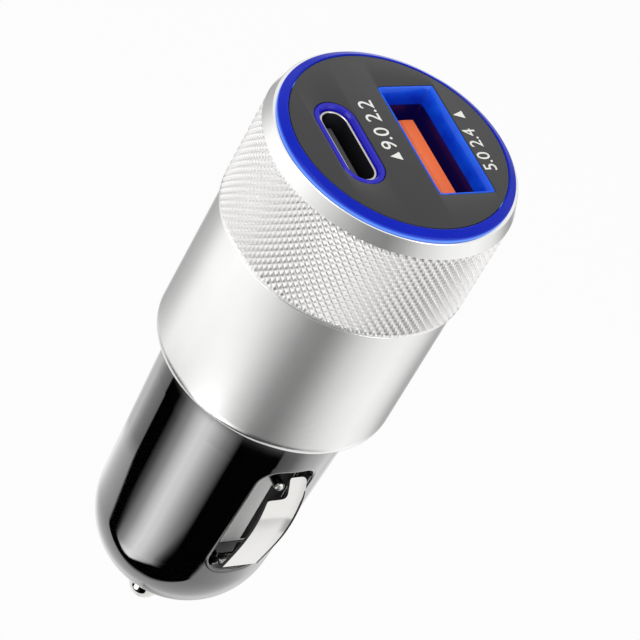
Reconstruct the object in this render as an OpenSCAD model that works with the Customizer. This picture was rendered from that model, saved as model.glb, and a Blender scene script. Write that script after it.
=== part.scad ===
// Two-port USB charger plug for a vehicle's 12 V socket.
// The origin is on the plug's axis in the plane of the head's lower shoulder.
// +Z runs up the axis to the ports, and +X along the ports' long sides.

/* [Plug] */
// Radius of the plug's straight collar, just under the head
plug_r = 10.2; // [9.9:0.05:10.5]
// Length of the straight collar
collar_len = 4.6; // [3:0.1:5]
// How much narrower the round nose is than the collar
nose_draft = 0.7; // [0.3:0.05:1]
// Depth of the nose dome's centre below the head
nose_depth = 23.2; // [22.6:0.1:26]
// Wall of the plug's moulded body
plug_wall = 1.5; // [1.3:0.05:1.7]

/* [Head] */
// Width of the head's shoulder round the plug
shoulder_w = 2.27; // [2:0.01:3]
// Height of the sleeve's rim above its lower shoulder
head_h = 30; // [28:0.1:33]
// How far the grip band stands out from the smooth part
band_proud = 0.33; // [0.2:0.01:0.45]
// Height where the grip band starts
band_low = 17.67; // [15:0.1:20]
// Height of the polished collar above the grip band
bezel_h = 1.5; // [1:0.1:3]
// How far the polished collar narrows to the rim
bezel_taper = 0.5; // [0.3:0.01:0.55]
// Wall of the sleeve
sleeve_wall = 1.05; // [0.8:0.05:1.2]
// Thickness of the sleeve's inturned lower lip
lip_h = 1.2; // [1:0.1:1.6]
// Radius of the sleeve's rounded lower edge
sole_round = 1; // [0.5:0.1:1.1]

/* [Face] */
// Thickness of the face plate
plate_t = 1; // [0.8:0.1:1.3]
// Width of the metal rim that shows round the light ring
rim_w = 0.3; // [0.2:0.01:0.4]
// Width of the light ring round the face plate
ring_w = 0.95; // [0.9:0.01:1.1]
// Height of the light ring's crown over the sleeve's rim
ring_crown = 0.8; // [0.6:0.05:1]
// Height of the light ring's outer edge over the sleeve's rim
ring_edge = 0.42; // [0.3:0.02:0.55]
// Depth of the light ring's skirt inside the sleeve
skirt_h = 2.4; // [2:0.1:3]
// Wall of the light ring's skirt
skirt_wall = 1.1; // [0.9:0.05:1.2]

/* [USB-A port] */
// Distance of the port's centre from the axis
usb_a_y = 4.1; // [4:0.05:4.2]
// Width of the port's opening
usb_a_w = 12.5; // [12.4:0.01:12.6]
// Height of the port's opening
usb_a_t = 5.12; // [5.05:0.01:5.2]
// Thickness of the port's sheet metal
usb_a_sheet = 0.3; // [0.25:0.01:0.35]
// How far the funnel widens on each side at the face
funnel_flare = 0.47; // [0.4:0.01:0.5]
// Depth of the funnel from the face to the metal mouth
funnel_depth = 1.9; // [1.5:0.1:2.4]
// Gap between the tongue's side and the shell
tongue_side = 0.7; // [0.6:0.05:0.9]
// Thickness of the tongue
tongue_t = 1.85; // [1.7:0.05:1.95]
// Depth of the tongue's end below the face
tongue_depth = 3; // [2.8:0.1:4]

/* [USB-C port] */
// Distance of the port's centre from the axis
usb_c_y = 5.6; // [5.4:0.05:5.8]
// Width of the port's opening
usb_c_w = 8.34; // [8.3:0.01:8.4]
// Height of the port's opening
usb_c_t = 2.56; // [2.5:0.01:2.6]
// Thickness of the port's drawn tube
usb_c_sheet = 0.3; // [0.25:0.01:0.33]
// Depth of the tube's rim below the face
usb_c_sunk = 0.4; // [0.2:0.05:0.6]
// Width of the blue surround
surround_w = 0.63; // [0.5:0.01:0.8]
// Width of the mid-plate that carries the contacts
blade_w = 6.69; // [6.5:0.01:6.8]
// Thickness of the mid-plate
blade_t = 0.7; // [0.6:0.01:0.8]

/* [Ground springs] */
// Width of the window that a spring stands in
window_w = 6.2; // [5.8:0.1:6.6]
// Depth of the window's upper end below the head
window_top = 5.4; // [5.2:0.1:6]
// Depth of the window's lower end below the head
window_low = 21.4; // [21:0.1:21.8]
// Depth of the window's floor below the collar's surface
window_sunk = 2.9; // [2.8:0.05:3.1]
// Width of the spring leaf
leaf_w = 4.2; // [3.8:0.1:4.4]
// Thickness of the spring leaf
leaf_t = 0.35; // [0.3:0.01:0.4]
// How far the leaf's crown stands out past the collar's surface
leaf_proud = 1; // [0.8:0.05:1.2]
// Width of the prong that the notch leaves at the leaf's upper end
prong_w = 1.95; // [1.6:0.05:2]
// Length of the notch
notch_len = 2.3; // [2.2:0.05:2.8]
// Angle by which the prong leans over the notch
prong_lean = 8; // [0:1:12]

/* [Centre contact] */
// Radius of the contact's stem
tip_r = 1.7; // [1.5:0.05:2]
// How far the contact's dome stands out of the nose
tip_out = 4.6; // [3.8:0.1:5]
// How far the contact presses in
tip_travel = 3; // [2.5:0.1:3.2]
// Radius of the contact's flange
tip_flange_r = 2.7; // [2.5:0.05:2.8]
// Number of turns in the contact's coil spring
spring_turns = 6; // [5:1:7]
// Diameter of the coil spring's wire
spring_wire = 0.4; // [0.3:0.02:0.45]

/* [Circuit boards] */
// Thickness of both circuit boards
board_t = 1.2; // [1:0.1:1.6]
// Height of the port board's lower face above the shoulder
board_z = 14.1; // [13:0.1:15]
// Half width of the main board inside the head
board_wide = 8.2; // [7.5:0.1:9]

/* [Hidden] */
$fn = 96;

// Clearance between pieces that slip into each other
slip = 0.05;
// Running clearance of the moving contact and the spring's rolled ends
run = 0.05;
// Clearance between the sleeve's lip and the collar that passes through it
lip_gap = 0.1;
// Extra length that carries a cut through a face
over = 1;

// Colours of the finishes
silver = [0.78, 0.79, 0.8];
nickel = [0.83, 0.82, 0.8];
gloss_black = [0.05, 0.05, 0.055];
light_blue = [0.08, 0.2, 0.95];
laminate = [0.06, 0.3, 0.16];
copper = [0.72, 0.42, 0.2];

// Head, from the sleeve outward and from the rim down
nose_r = plug_r - nose_draft;
head_r = plug_r + shoulder_w;
bore_r = head_r - sleeve_wall;
band_r = head_r + band_proud;
band_high = head_h - bezel_h;
rim_r = band_r - bezel_taper;
step_round = 0.3;
shell_r = bore_r - slip;
cup_wall = 1.1;
cup_r = shell_r - cup_wall;
neck_inset = 0.3;

// Face, where the plate's top lies just under the ring's crown
plate_seat = head_h + ring_crown - plate_t - 0.05;
face_z = plate_seat + plate_t;
ring_r = rim_r - rim_w;
ring_bore = ring_r - ring_w;
plate_r = ring_bore - slip;
ring_lip_inset = 0.1;
skirt_r = bore_r - slip;
skirt_bore = skirt_r - skirt_wall;
skirt_low = head_h - skirt_h;
plate_edge = 0.15;

// Ports
board_top = board_z + board_t;
usb_a_mouth = face_z - funnel_depth;
usb_a_base = 2.5;
usb_a_corner = 0.4;
tongue_w = usb_a_w - 2 * tongue_side;
usb_c_rim = face_z - usb_c_sunk;
usb_c_base = 3.7;
bezel_wall = 0.13;
bezel_skirt = 2.8;
flange_w = 0.35;
flange_t = 1;
flange_corner = 1.6;
funnel_corner = 0.2;
tongue_end = face_z - tongue_depth;
contact_w = 1;
contact_t = 0.2;
contact_x = [-3.5, -1, 1, 3.5];
contact_end = 1.4;
leg_w = 1.6;
leg_x = 4.4;
leg_below = 0.5;
finger_w = 1.9;
finger_gap = 0.25;
finger_low = 4.2;
finger_len = 5.4;
finger_in = 0.42;
finger_x = 3.1;
pad_w = 0.25;
pad_t = 0.06;
pad_pitch = 0.5;
pad_rows = 12;
pad_len = 4.4;
blade_inset = 1.15;

// Ground springs, measured inward from the collar's surface
window_floor = plug_r - window_sunk;
leaf_crown = plug_r + leaf_proud;
window_corner = 2;
floor_wall = 1.1;
curl_x = plug_r - 1.5;
curl_z = -window_low + 1.2;
curl_r = 0.5;
saddle_top = curl_x + 0.32;
saddle_high = curl_z + 1;
post_r = 0.55;
post_gap = 0.15;
post_z = -window_top - 2.1;
post_top = plug_r + 0.1;
terminal_t = 0.3;
terminal_gap = 0.15;
tab_w = 2;
tab_z = -14;
saddle_half = leaf_w / 2 + 0.2;
heel_x = plug_r - 0.25;
leaf_top_z = -window_top - 0.75;
leaf_top_x = plug_r - 0.25;
notch_low = leaf_top_z - notch_len;
notch_edge = leaf_w / 2 - prong_w;
notch_round = 0.6;
post_y = notch_edge - (post_z - notch_low) * tan(prong_lean) - (post_r + post_gap) / cos(prong_lean);
leaf_steps = 24;
crown_share = 0.58;
crown_fullness = 0.8;

// Centre contact
nose_low = nose_depth + nose_r;
cavity_r = nose_r - plug_wall;
tip_seat = -(nose_low - plug_wall - 0.1);
tip_end = -(nose_low + tip_out);
boss_wall = 1.1;
boss_bore = tip_flange_r + 0.3;
boss_high = -nose_depth - 0.9;
tip_flange_t = 0.9;
tip_spigot_r = 1.2;
tip_spigot_h = 1.8;
spring_r = 2.15;
spring_low = tip_seat + tip_flange_t;
coil_spare = 1.8;
terminal_z = spring_low + tip_travel + (spring_turns + 1) * spring_wire + coil_spare;
terminal_disc_t = 0.3;
board_low = terminal_z + terminal_disc_t;

// Boards and the rails that hold the main board's edges
board_half = window_floor - floor_wall - 0.3;
rail_t = 0.7;
rail_bite = 0.45;
rail_tab_gap = 1.2;
face_y = board_t / 2;
tab_up = 0.4;
main_tab_x = 5.6;
main_tab_w = 2.4;

// Angle at which the draft of the plug's side meets the round nose
draft_span = norm([plug_r, nose_depth - collar_len]);
draft_angle = atan2(nose_depth - collar_len, plug_r) - acos(nose_r / draft_span);

// Rectangle with rounded corners, centred
module round_rect(w, h, r) {
    square([w, h - 2 * r], center = true);
    square([w - 2 * r, h], center = true);
    for (x = [-1, 1], y = [-1, 1])
        translate([x * (w / 2 - r), y * (h / 2 - r)]) circle(r);
}

// Stadium, centred, with its round ends along X
module stadium(w, h) {
    square([w - h, h], center = true);
    for (x = [-1, 1])
        translate([x * (w - h) / 2, 0]) circle(h / 2);
}

// Prism of a flat outline from height low to height high
module prism(low, high) {
    translate([0, 0, low]) linear_extrude(high - low) children();
}

// Tube from height low to height high
module tube(outer, inner, low, high) {
    translate([0, 0, low]) difference() {
        cylinder(h = high - low, r = outer);
        translate([0, 0, -over]) cylinder(h = high - low + 2 * over, r = inner);
    }
}

// Outline carried outward along X, its own X along the part's Y and its own Y along Z
module side_prism(from_x, to_x) {
    translate([from_x, 0, 0])
        rotate([90, 0, 90]) linear_extrude(to_x - from_x) children();
}

// Box given by its two corners
module block(low, high) {
    translate(low) cube(high - low);
}

// The same thing on the -X side, turned half round the axis
module left_side() {
    rotate([0, 0, 180]) children();
}

// Turned aluminium sleeve with its lip, its grip band and its polished collar
module head_sleeve() {
    color(silver) rotate_extrude() difference() {
        union() {
            translate([0, sole_round]) square([head_r, band_low - sole_round]);
            square([head_r - sole_round, sole_round + over]);
            translate([head_r - sole_round, sole_round]) circle(sole_round);
            translate([0, band_low + step_round]) square([band_r, band_high - band_low - step_round]);
            translate([0, band_low]) square([band_r - step_round, over]);
            translate([band_r - step_round, band_low + step_round]) circle(step_round);
            polygon([[0, band_high], [band_r, band_high], [rim_r, head_h], [0, head_h]]);
        }
        translate([0, lip_h]) square([bore_r, head_h]);
        translate([0, -over]) square([plug_r + lip_gap, head_h]);
    }
}

// Half outline of the plug's outside, with a round nose
module plug_outline() {
    translate([0, -collar_len]) square([plug_r, collar_len]);
    translate([0, -over]) square([plug_r - neck_inset, lip_h + 2 * over]);
    polygon([
        [0, -collar_len],
        [plug_r, -collar_len],
        [nose_r * cos(draft_angle), -nose_depth + nose_r * sin(draft_angle)],
        [0, -nose_depth + nose_r * sin(draft_angle)],
    ]);
    intersection() {
        translate([0, -nose_depth]) circle(nose_r);
        translate([0, -nose_low - over]) square([plug_r, nose_r + over + nose_r * sin(draft_angle)]);
    }
    translate([0, lip_h]) square([shell_r, board_z - lip_h]);
}

// Half outline of the hollow inside the plug
module cavity_outline() {
    intersection() {
        translate([0, -nose_depth]) circle(cavity_r);
        translate([0, -nose_low]) square([plug_r, nose_low]);
    }
    translate([0, -nose_depth]) square([cavity_r, nose_depth + lip_h + over]);
    translate([0, lip_h + over]) square([cup_r, board_z]);
}

// Window outline seen from the side, grown by a margin
module window_outline(grow) {
    translate([0, -(window_top + window_low) / 2])
        round_rect(window_w + 2 * grow, window_low - window_top + 2 * grow, window_corner + grow);
}

// Cut of a window down to its floor
module window_cut() {
    side_prism(window_floor, plug_r + over) window_outline(0);
}

// Block of the saddle under the spring's rolled foot, grown by a margin
module saddle_block(grow) {
    block([window_floor - over, -saddle_half - grow, -window_low - over],
          [saddle_top + grow, saddle_half + grow, saddle_high + grow]);
}

// What stands in a window: the snap-in saddle for the spring's rolled foot, and the round-headed
// post in the notch of its upper end
module window_fittings() {
    difference() {
        intersection() {
            saddle_block(0);
            side_prism(window_floor - over, saddle_top + over) window_outline(slip);
        }
        translate([curl_x, 0, curl_z]) rotate([90, 0, 0])
            cylinder(h = window_w + 2 * over, r = curl_r + run, center = true);
    }
    translate([window_floor - over, post_y, post_z]) rotate([0, 90, 0])
        cylinder(h = post_top - post_r - window_floor + over, r = post_r);
    translate([post_top - post_r, post_y, post_z]) sphere(post_r);
}

// Moulded body of the plug, its cup inside the head, and the boss behind the nose
module plug_body() {
    color(gloss_black) difference() {
        union() {
            difference() {
                rotate_extrude() difference() {
                    plug_outline();
                    cavity_outline();
                }
                window_cut();
                left_side() window_cut();
            }
            intersection() {
                rotate_extrude() difference() {
                    plug_outline();
                    translate([0, boss_high]) square([plug_r, nose_low + head_h]);
                }
                tube(boss_bore + boss_wall, boss_bore, tip_seat, boss_high);
            }
            intersection() {
                rotate_extrude() plug_outline();
                translate([0, 0, -nose_low]) cylinder(h = nose_low + tip_seat, r = boss_bore + boss_wall);
            }
            window_box();
            left_side() window_box();
            cup_rails();
            left_side() cup_rails();
        }
        translate([0, 0, -nose_low - over]) cylinder(h = nose_low, r = tip_r + run);
        translate([0, 0, tip_seat]) cylinder(h = boss_high - tip_seat, r = boss_bore);
    }
}

// Walls that close a window's inside, with what stands in the window and the rails on its back
module window_box() {
    difference() {
        intersection() {
            rotate_extrude() plug_outline();
            side_prism(window_floor - floor_wall, plug_r) window_outline(floor_wall);
        }
        window_cut();
        block([0, -tab_w / 2 - slip, tab_z - slip],
              [window_floor + over, tab_w / 2 + slip, tab_z + terminal_t + slip]);
    }
    window_fittings();
    box_back = window_floor - floor_wall;
    for (side = [-1, 1])
        board_rail(side, board_half - rail_bite, box_back + rail_bite, tab_z + rail_tab_gap, -window_top);
    for (side = [-1, 1])
        board_rail(side, board_half - rail_bite, box_back + rail_bite, -window_low, tab_z - rail_tab_gap);
}

// Rail along one face of the main board: side is 1 for +Y and -1 for -Y
module board_rail(side, from_x, to_x, low, high) {
    translate([0, side * (face_y + slip + rail_t / 2) - rail_t / 2, 0])
        block([from_x, 0, low], [to_x, rail_t, high]);
}

// Pair of rails inside the cup, which hold the wide part of the main board
module cup_rails() {
    intersection() {
        tube(shell_r, board_wide - rail_bite, lip_h + over / 2, board_z - over);
        for (side = [-1, 1])
            board_rail(side, board_wide - 2 * rail_bite, shell_r, lip_h, board_z);
    }
}

// Plastic tube that clamps the port board and carries the light ring
module inner_sleeve() {
    color([0.1, 0.1, 0.11]) tube(shell_r, cup_r, board_top, skirt_low);
}

// Clear blue ring over the sleeve's rim, with a ledge for the face plate
module light_ring() {
    color(light_blue) rotate_extrude() polygon([
        [skirt_bore, skirt_low],
        [skirt_r, skirt_low],
        [skirt_r, head_h],
        [ring_r, head_h],
        [ring_r - ring_lip_inset / 2, head_h + ring_edge - ring_lip_inset],
        [ring_r - ring_lip_inset * 2, head_h + ring_edge],
        [ring_bore + ring_lip_inset, head_h + ring_crown],
        [ring_bore, head_h + ring_crown - ring_lip_inset],
        [ring_bore, plate_seat],
        [skirt_bore, plate_seat],
    ]);
}

// Outline of the blue frame in the face round the USB-A port
module usb_a_frame(grow, corner) {
    translate([0, usb_a_y])
        round_rect(usb_a_w + 2 * (funnel_flare + bezel_wall + grow),
                   usb_a_t + 2 * (funnel_flare + bezel_wall + grow), corner);
}

// Outline of the blue surround of the USB-C port
module usb_c_frame(grow) {
    translate([0, -usb_c_y])
        stadium(usb_c_w + 2 * (usb_c_sheet + surround_w + grow),
                usb_c_t + 2 * (usb_c_sheet + surround_w + grow));
}

// Dark face plate with a window for each port
module face_plate() {
    color([0.17, 0.17, 0.18]) difference() {
        union() {
            translate([0, 0, plate_seat]) cylinder(h = plate_t - plate_edge, r = plate_r);
            translate([0, 0, face_z - plate_edge])
                cylinder(h = plate_edge, r1 = plate_r, r2 = plate_r - plate_edge);
        }
        prism(plate_seat - over, face_z + over) {
            usb_a_frame(slip, funnel_corner + slip);
            usb_c_frame(slip);
        }
    }
}

// Blue frame whose funnel leads into the USB-A port, with a skirt round the metal mouth
module usb_a_bezel() {
    half_w = usb_a_w / 2;
    half_t = usb_a_t / 2;
    color(light_blue) difference() {
        union() {
            prism(usb_a_mouth - bezel_skirt, face_z) usb_a_frame(0, funnel_corner);
            prism(plate_seat - flange_t, plate_seat) intersection() {
                usb_a_frame(flange_w, flange_corner);
                circle(skirt_bore - slip);
            }
        }
        translate([0, usb_a_y, 0]) intersection() {
            rotate([90, 0, 0]) linear_extrude(usb_a_t * 2, center = true) polygon([
                [-half_w, usb_a_mouth - over], [half_w, usb_a_mouth - over],
                [half_w, usb_a_mouth], [half_w + funnel_flare, face_z],
                [half_w + funnel_flare, face_z + over], [-half_w - funnel_flare, face_z + over],
                [-half_w - funnel_flare, face_z], [-half_w, usb_a_mouth],
            ]);
            rotate([90, 0, 90]) linear_extrude(usb_a_w * 2, center = true) polygon([
                [-half_t, usb_a_mouth - over], [half_t, usb_a_mouth - over],
                [half_t, usb_a_mouth], [half_t + funnel_flare, face_z],
                [half_t + funnel_flare, face_z + over], [-half_t - funnel_flare, face_z + over],
                [-half_t - funnel_flare, face_z], [-half_t, usb_a_mouth],
            ]);
        }
        prism(usb_a_mouth - bezel_skirt - over, usb_a_mouth) translate([0, usb_a_y])
            round_rect(usb_a_w + 2 * (usb_a_sheet + slip), usb_a_t + 2 * (usb_a_sheet + slip),
                       usb_a_corner + usb_a_sheet);
    }
}

// Blue surround of the USB-C port
module usb_c_bezel() {
    color(light_blue) difference() {
        union() {
            prism(plate_seat - flange_t - over, face_z) usb_c_frame(0);
            prism(plate_seat - flange_t, plate_seat) usb_c_frame(flange_w);
        }
        prism(0, face_z + over) translate([0, -usb_c_y])
            stadium(usb_c_w + 2 * (usb_c_sheet + slip), usb_c_t + 2 * (usb_c_sheet + slip));
    }
}

// Spring finger cut out of a wide wall of the shell and bent inward. Its root is below, its
// crest presses on the plug, and its tip turns back out to the wall.
module usb_a_finger() {
    inner = usb_a_t / 2;
    low = board_top + finger_low;
    crest = low + 0.78 * finger_len;
    tip = low + finger_len - finger_gap;
    rotate([90, 0, 90]) linear_extrude(finger_w, center = true) polygon([
        [inner, low - finger_gap], [inner - finger_in, crest], [inner, tip],
        [inner + usb_a_sheet, tip], [inner - finger_in + usb_a_sheet, crest],
        [inner + usb_a_sheet, low - finger_gap],
    ]);
}

// Folded steel shell of the USB-A port, with two spring fingers in each wide wall and four legs
// through the port board
module usb_a_shell() {
    outer_t = usb_a_t / 2 + usb_a_sheet;
    cut_w = finger_w + 2 * finger_gap;
    cut_low = board_top + finger_low;
    color(nickel) {
        difference() {
            prism(board_top, usb_a_mouth) translate([0, usb_a_y]) difference() {
                round_rect(usb_a_w + 2 * usb_a_sheet, usb_a_t + 2 * usb_a_sheet, usb_a_corner + usb_a_sheet);
                round_rect(usb_a_w, usb_a_t, usb_a_corner);
            }
            for (x = [-finger_x, finger_x])
                block([x - cut_w / 2, usb_a_y - outer_t - over, cut_low],
                      [x + cut_w / 2, usb_a_y + outer_t + over, cut_low + finger_len]);
        }
        for (x = [-finger_x, finger_x], turn = [0, 180])
            translate([x, usb_a_y, 0]) rotate([0, 0, turn]) usb_a_finger();
        for (side = [-1, 1], x = [-leg_x, leg_x])
            translate([x - leg_w / 2, usb_a_y + side * (outer_t - usb_a_sheet / 2) - usb_a_sheet / 2,
                       board_z - leg_below])
                cube([leg_w, usb_a_sheet, board_t + leg_below]);
    }
}

// Orange moulding of the USB-A port: its base and its tongue
module usb_a_tongue() {
    color([0.93, 0.42, 0.2]) difference() {
        union() {
            prism(board_top, board_top + usb_a_base) translate([0, usb_a_y])
                round_rect(usb_a_w - 2 * slip, usb_a_t - 2 * slip, usb_a_corner);
            block([-tongue_w / 2, usb_a_y, board_top], [tongue_w / 2, usb_a_y + tongue_t, tongue_end]);
        }
        for (x = contact_x)
            block([x - contact_w / 2 - slip, usb_a_y - contact_t - slip, board_top - over],
                  [x + contact_w / 2 + slip, usb_a_y, board_top + usb_a_base + over]);
    }
}

// Four contacts along the USB-A tongue, with tails through the port board
module usb_a_contacts() {
    color([0.86, 0.7, 0.35]) for (x = contact_x)
        block([x - contact_w / 2, usb_a_y - contact_t, board_z - leg_below],
              [x + contact_w / 2, usb_a_y, tongue_end - contact_end]);
}

// Drawn steel tube of the USB-C port
module usb_c_shell() {
    color(nickel) prism(board_top, usb_c_rim) translate([0, -usb_c_y]) difference() {
        stadium(usb_c_w + 2 * usb_c_sheet, usb_c_t + 2 * usb_c_sheet);
        stadium(usb_c_w, usb_c_t);
    }
}

// Base and mid-plate of the USB-C port
module usb_c_tongue() {
    color([0.16, 0.16, 0.17]) {
        prism(board_top, board_top + usb_c_base) translate([0, -usb_c_y])
            stadium(usb_c_w - 2 * slip, usb_c_t - 2 * slip);
        block([-blade_w / 2, -usb_c_y - blade_t / 2, board_top + usb_c_base],
              [blade_w / 2, -usb_c_y + blade_t / 2, usb_c_rim - blade_inset]);
    }
}

// Two rows of gold contacts on the mid-plate
module usb_c_contacts() {
    high = usb_c_rim - blade_inset - 0.3;
    color([0.86, 0.7, 0.35]) for (i = [0 : pad_rows - 1], side = [-1, 1])
        translate([(i - (pad_rows - 1) / 2) * pad_pitch, -usb_c_y + side * (blade_t + pad_t) / 2,
                   high - pad_len / 2])
            cube([pad_w, pad_t, pad_len], center = true);
}

// Centre line of the spring leaf at share u of its rise from heel to top. The bow is a skewed
// half sine over the chord, highest at crown_share.
function chord_x(u) = heel_x * (1 - u) + leaf_top_x * u;
function leaf_x(u) = chord_x(u)
    + (leaf_crown - leaf_t / 2 - chord_x(crown_share))
    * pow(sin(180 * pow(u, ln(0.5) / ln(crown_share))), crown_fullness);
function leaf_z(u) = curl_z * (1 - u) + leaf_top_z * u;

// What is cut from the leaf's upper end, seen from the side: the notch beside the leaning prong,
// and what lies beyond the prong's outer edge
module notch_outline() {
    far = 2 * notch_len;
    reach = notch_round / tan(45 - prong_lean / 2);
    polygon([
        [-leaf_w, notch_low], [notch_edge - reach, notch_low],
        [notch_edge - reach * sin(prong_lean), notch_low + reach * cos(prong_lean)],
        [notch_edge - far * tan(prong_lean), notch_low + far], [-leaf_w, notch_low + far],
    ]);
    translate([notch_edge - reach, notch_low + notch_round]) circle(notch_round);
    polygon([
        [leaf_w / 2, notch_low], [leaf_w, notch_low], [leaf_w, notch_low + far],
        [leaf_w / 2 - far * tan(prong_lean), notch_low + far],
    ]);
}

// Bowed leaf with a rolled foot, whose upper end is notched beside the prong
module spring_leaf() {
    line = [for (i = [0 : leaf_steps]) [leaf_x(i / leaf_steps), leaf_z(i / leaf_steps)]];
    difference() {
        translate([0, leaf_w / 2, 0]) rotate([90, 0, 0]) linear_extrude(leaf_w) {
            polygon(concat(
                [for (p = line) p + [leaf_t / 2, 0]],
                [for (i = [leaf_steps : -1 : 0]) line[i] - [leaf_t / 2, 0]]
            ));
            translate([curl_x, curl_z - leaf_t / 2]) square([heel_x - curl_x, leaf_t]);
            translate([heel_x, curl_z]) circle(leaf_t / 2);
            translate([curl_x, curl_z]) circle(curl_r);
        }
        side_prism(window_floor, plug_r + 2 * over) notch_outline();
    }
}

module ground_spring_right() {
    color(nickel) spring_leaf();
}

module ground_spring_left() {
    color(nickel) left_side() spring_leaf();
}

// Plated strip on the window's floor, notched round the saddle and the post, with a tab to the
// main board
module terminal_strip() {
    difference() {
        union() {
            side_prism(window_floor, window_floor + terminal_t) window_outline(-terminal_gap);
            block([board_half, -tab_w / 2, tab_z],
                  [window_floor + terminal_t / 2, tab_w / 2, tab_z + terminal_t]);
        }
        saddle_block(slip);
        translate([window_floor - over, post_y, post_z]) rotate([0, 90, 0])
            cylinder(h = 3 * over, r = post_r + slip);
    }
}

module ground_terminal_right() {
    color(nickel) terminal_strip();
}

module ground_terminal_left() {
    color(nickel) left_side() terminal_strip();
}

// Plunger with a domed end, a flange that stops it and a spigot in the coil
module tip_contact() {
    color(nickel) {
        rotate_extrude() {
            intersection() {
                translate([0, tip_end + tip_r]) circle(tip_r);
                translate([0, tip_end]) square(tip_r);
            }
            translate([0, tip_end + tip_r]) square([tip_r, tip_seat - tip_end - tip_r + tip_flange_t / 2]);
            translate([0, tip_seat]) square([tip_flange_r, tip_flange_t]);
            translate([0, tip_seat]) square([tip_spigot_r, tip_flange_t + tip_spigot_h]);
        }
    }
}

// Round wire carried along a helix, with flat closed ends
module coil(r, wire, low, high, turns) {
    steps = 18;
    sides = 8;
    rise = high - low - wire;
    count = steps * turns;
    slope = atan(rise / (2 * PI * r * turns));
    rings = [for (i = [0 : count])
        let (turn = 360 * i / steps, mid = low + wire / 2 + rise * i / count)
        for (k = [0 : sides - 1])
        let (a = 360 * k / sides, out = wire / 2 * cos(a), lift = wire / 2 * sin(a))
        [(r + out) * cos(turn) + lift * sin(slope) * sin(turn),
         (r + out) * sin(turn) - lift * sin(slope) * cos(turn),
         mid + lift * cos(slope)]];
    walls = [for (i = [0 : count - 1], k = [0 : sides - 1])
        let (n = (k + 1) % sides)
        [i * sides + k, (i + 1) * sides + k, (i + 1) * sides + n, i * sides + n]];
    first = [for (k = [0 : sides - 1]) k];
    last = [for (k = [sides - 1 : -1 : 0]) count * sides + k];
    polyhedron(rings, concat(walls, [first, last]));
}

// Coil spring behind the centre contact
module tip_spring() {
    color(nickel) coil(spring_r, spring_wire, spring_low, terminal_z, spring_turns);
}

// Disc that the coil bears on, clipped over the main board's lower edge
module tip_terminal() {
    ear_t = 0.3;
    color(nickel) {
        translate([0, 0, terminal_z]) cylinder(h = terminal_disc_t, r = tip_flange_r);
        for (side = [-1, 1])
            translate([-1, side * (face_y + ear_t / 2) - ear_t / 2, terminal_z])
                cube([2, ear_t, 2.2]);
    }
}

// Round board under the ports, slotted for their legs and for the main board's tabs
module port_board() {
    outer_t = usb_a_t / 2 + usb_a_sheet / 2;
    color(laminate) difference() {
        translate([0, 0, board_z]) cylinder(h = board_t, r = shell_r - slip);
        for (side = [-1, 1], x = [-leg_x, leg_x])
            translate([x, usb_a_y + side * outer_t, board_z])
                cube([leg_w + 2 * slip, usb_a_sheet + 2 * slip, 4 * board_t], center = true);
        for (x = contact_x)
            translate([x, usb_a_y - contact_t / 2, board_z])
                cube([contact_w + 2 * slip, contact_t + 2 * slip, 4 * board_t], center = true);
        for (x = [-main_tab_x, main_tab_x])
            translate([x, 0, board_z])
                cube([main_tab_w + 2 * slip, board_t + 2 * slip, 4 * board_t], center = true);
    }
}

// Upright board, narrow between the spring windows and wide inside the head
module main_board() {
    color(laminate) translate([0, face_y, 0]) rotate([90, 0, 0]) linear_extrude(board_t) {
        polygon([
            [-board_half, board_low], [board_half, board_low],
            [board_half, lip_h + over], [board_wide, lip_h + 2 * over],
            [board_wide, board_z], [-board_wide, board_z],
            [-board_wide, lip_h + 2 * over], [-board_half, lip_h + over],
        ]);
        for (x = [-main_tab_x, main_tab_x])
            translate([x - main_tab_w / 2, board_z]) square([main_tab_w, board_t + tab_up]);
    }
}

// Four light-emitting diodes round the port board's edge
module status_leds() {
    led_r = cup_r - 1.17;
    color([0.95, 0.95, 0.85]) for (a = [0, 180, 250, 290])
        rotate([0, 0, a]) translate([led_r, 0, board_top + 0.4])
            cube([1.6, 2.2, 0.8], center = true);
}

// Part lying flat on one face of the main board: side is 1 for +Y and -1 for -Y
module on_board(x, z, side) {
    translate([x, side * face_y, z]) rotate([-90 * side, 0, 0]) children();
}

// Ferrite drum
module inductor_core() {
    color([0.2, 0.2, 0.21]) on_board(0, -2.5, 1) rotate_extrude() {
        square([3.6, 0.8]);
        square([1.7, 4.6]);
        translate([0, 3.8]) square([3.6, 0.8]);
    }
}

// Copper winding between the drum's flanges
module inductor_winding() {
    color(copper) on_board(0, -2.5, 1) tube(3.2, 1.7 + slip, 0.8 + slip, 3.8 - slip);
}

// Aluminium can with a crimped groove and a rubber-sealed foot, lying along Z on the main board
module capacitor_can(r, len) {
    groove = 0.35;
    rotate_extrude() difference() {
        union() {
            square([r - 0.3, len]);
            translate([0, 0.3]) square([r, len - 0.6]);
        }
        translate([r + 0.15, 1.6]) circle(groove);
    }
}

module input_capacitor() {
    color([0.25, 0.3, 0.45]) translate([0, -face_y - 3.15, -19]) capacitor_can(3.15, 11);
}

module output_capacitor() {
    color([0.25, 0.3, 0.45]) translate([0, -face_y - 4, 2.5]) capacitor_can(4, 10.5);
}

// Moulded chip with gull-wing legs down both long sides
module buck_controller() {
    body_w = 3.9;
    body_l = 4.9;
    color([0.08, 0.08, 0.09]) on_board(0, -12.5, 1) {
        translate([-body_l / 2, -body_w / 2, 0.1]) cube([body_l, body_w, 1.4]);
        for (i = [-1.5 : 1.5], side = [-1, 1])
            translate([i * 1.27 - 0.2, side * 2.5 - 0.6, 0]) cube([0.4, 1.2, 0.2]);
    }
}

// Leadless chip that sets the ports' charging current
module port_controller() {
    color([0.08, 0.08, 0.09]) on_board(0, 8, 1) translate([-2, -2, 0]) cube([4, 4, 0.8]);
}

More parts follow.
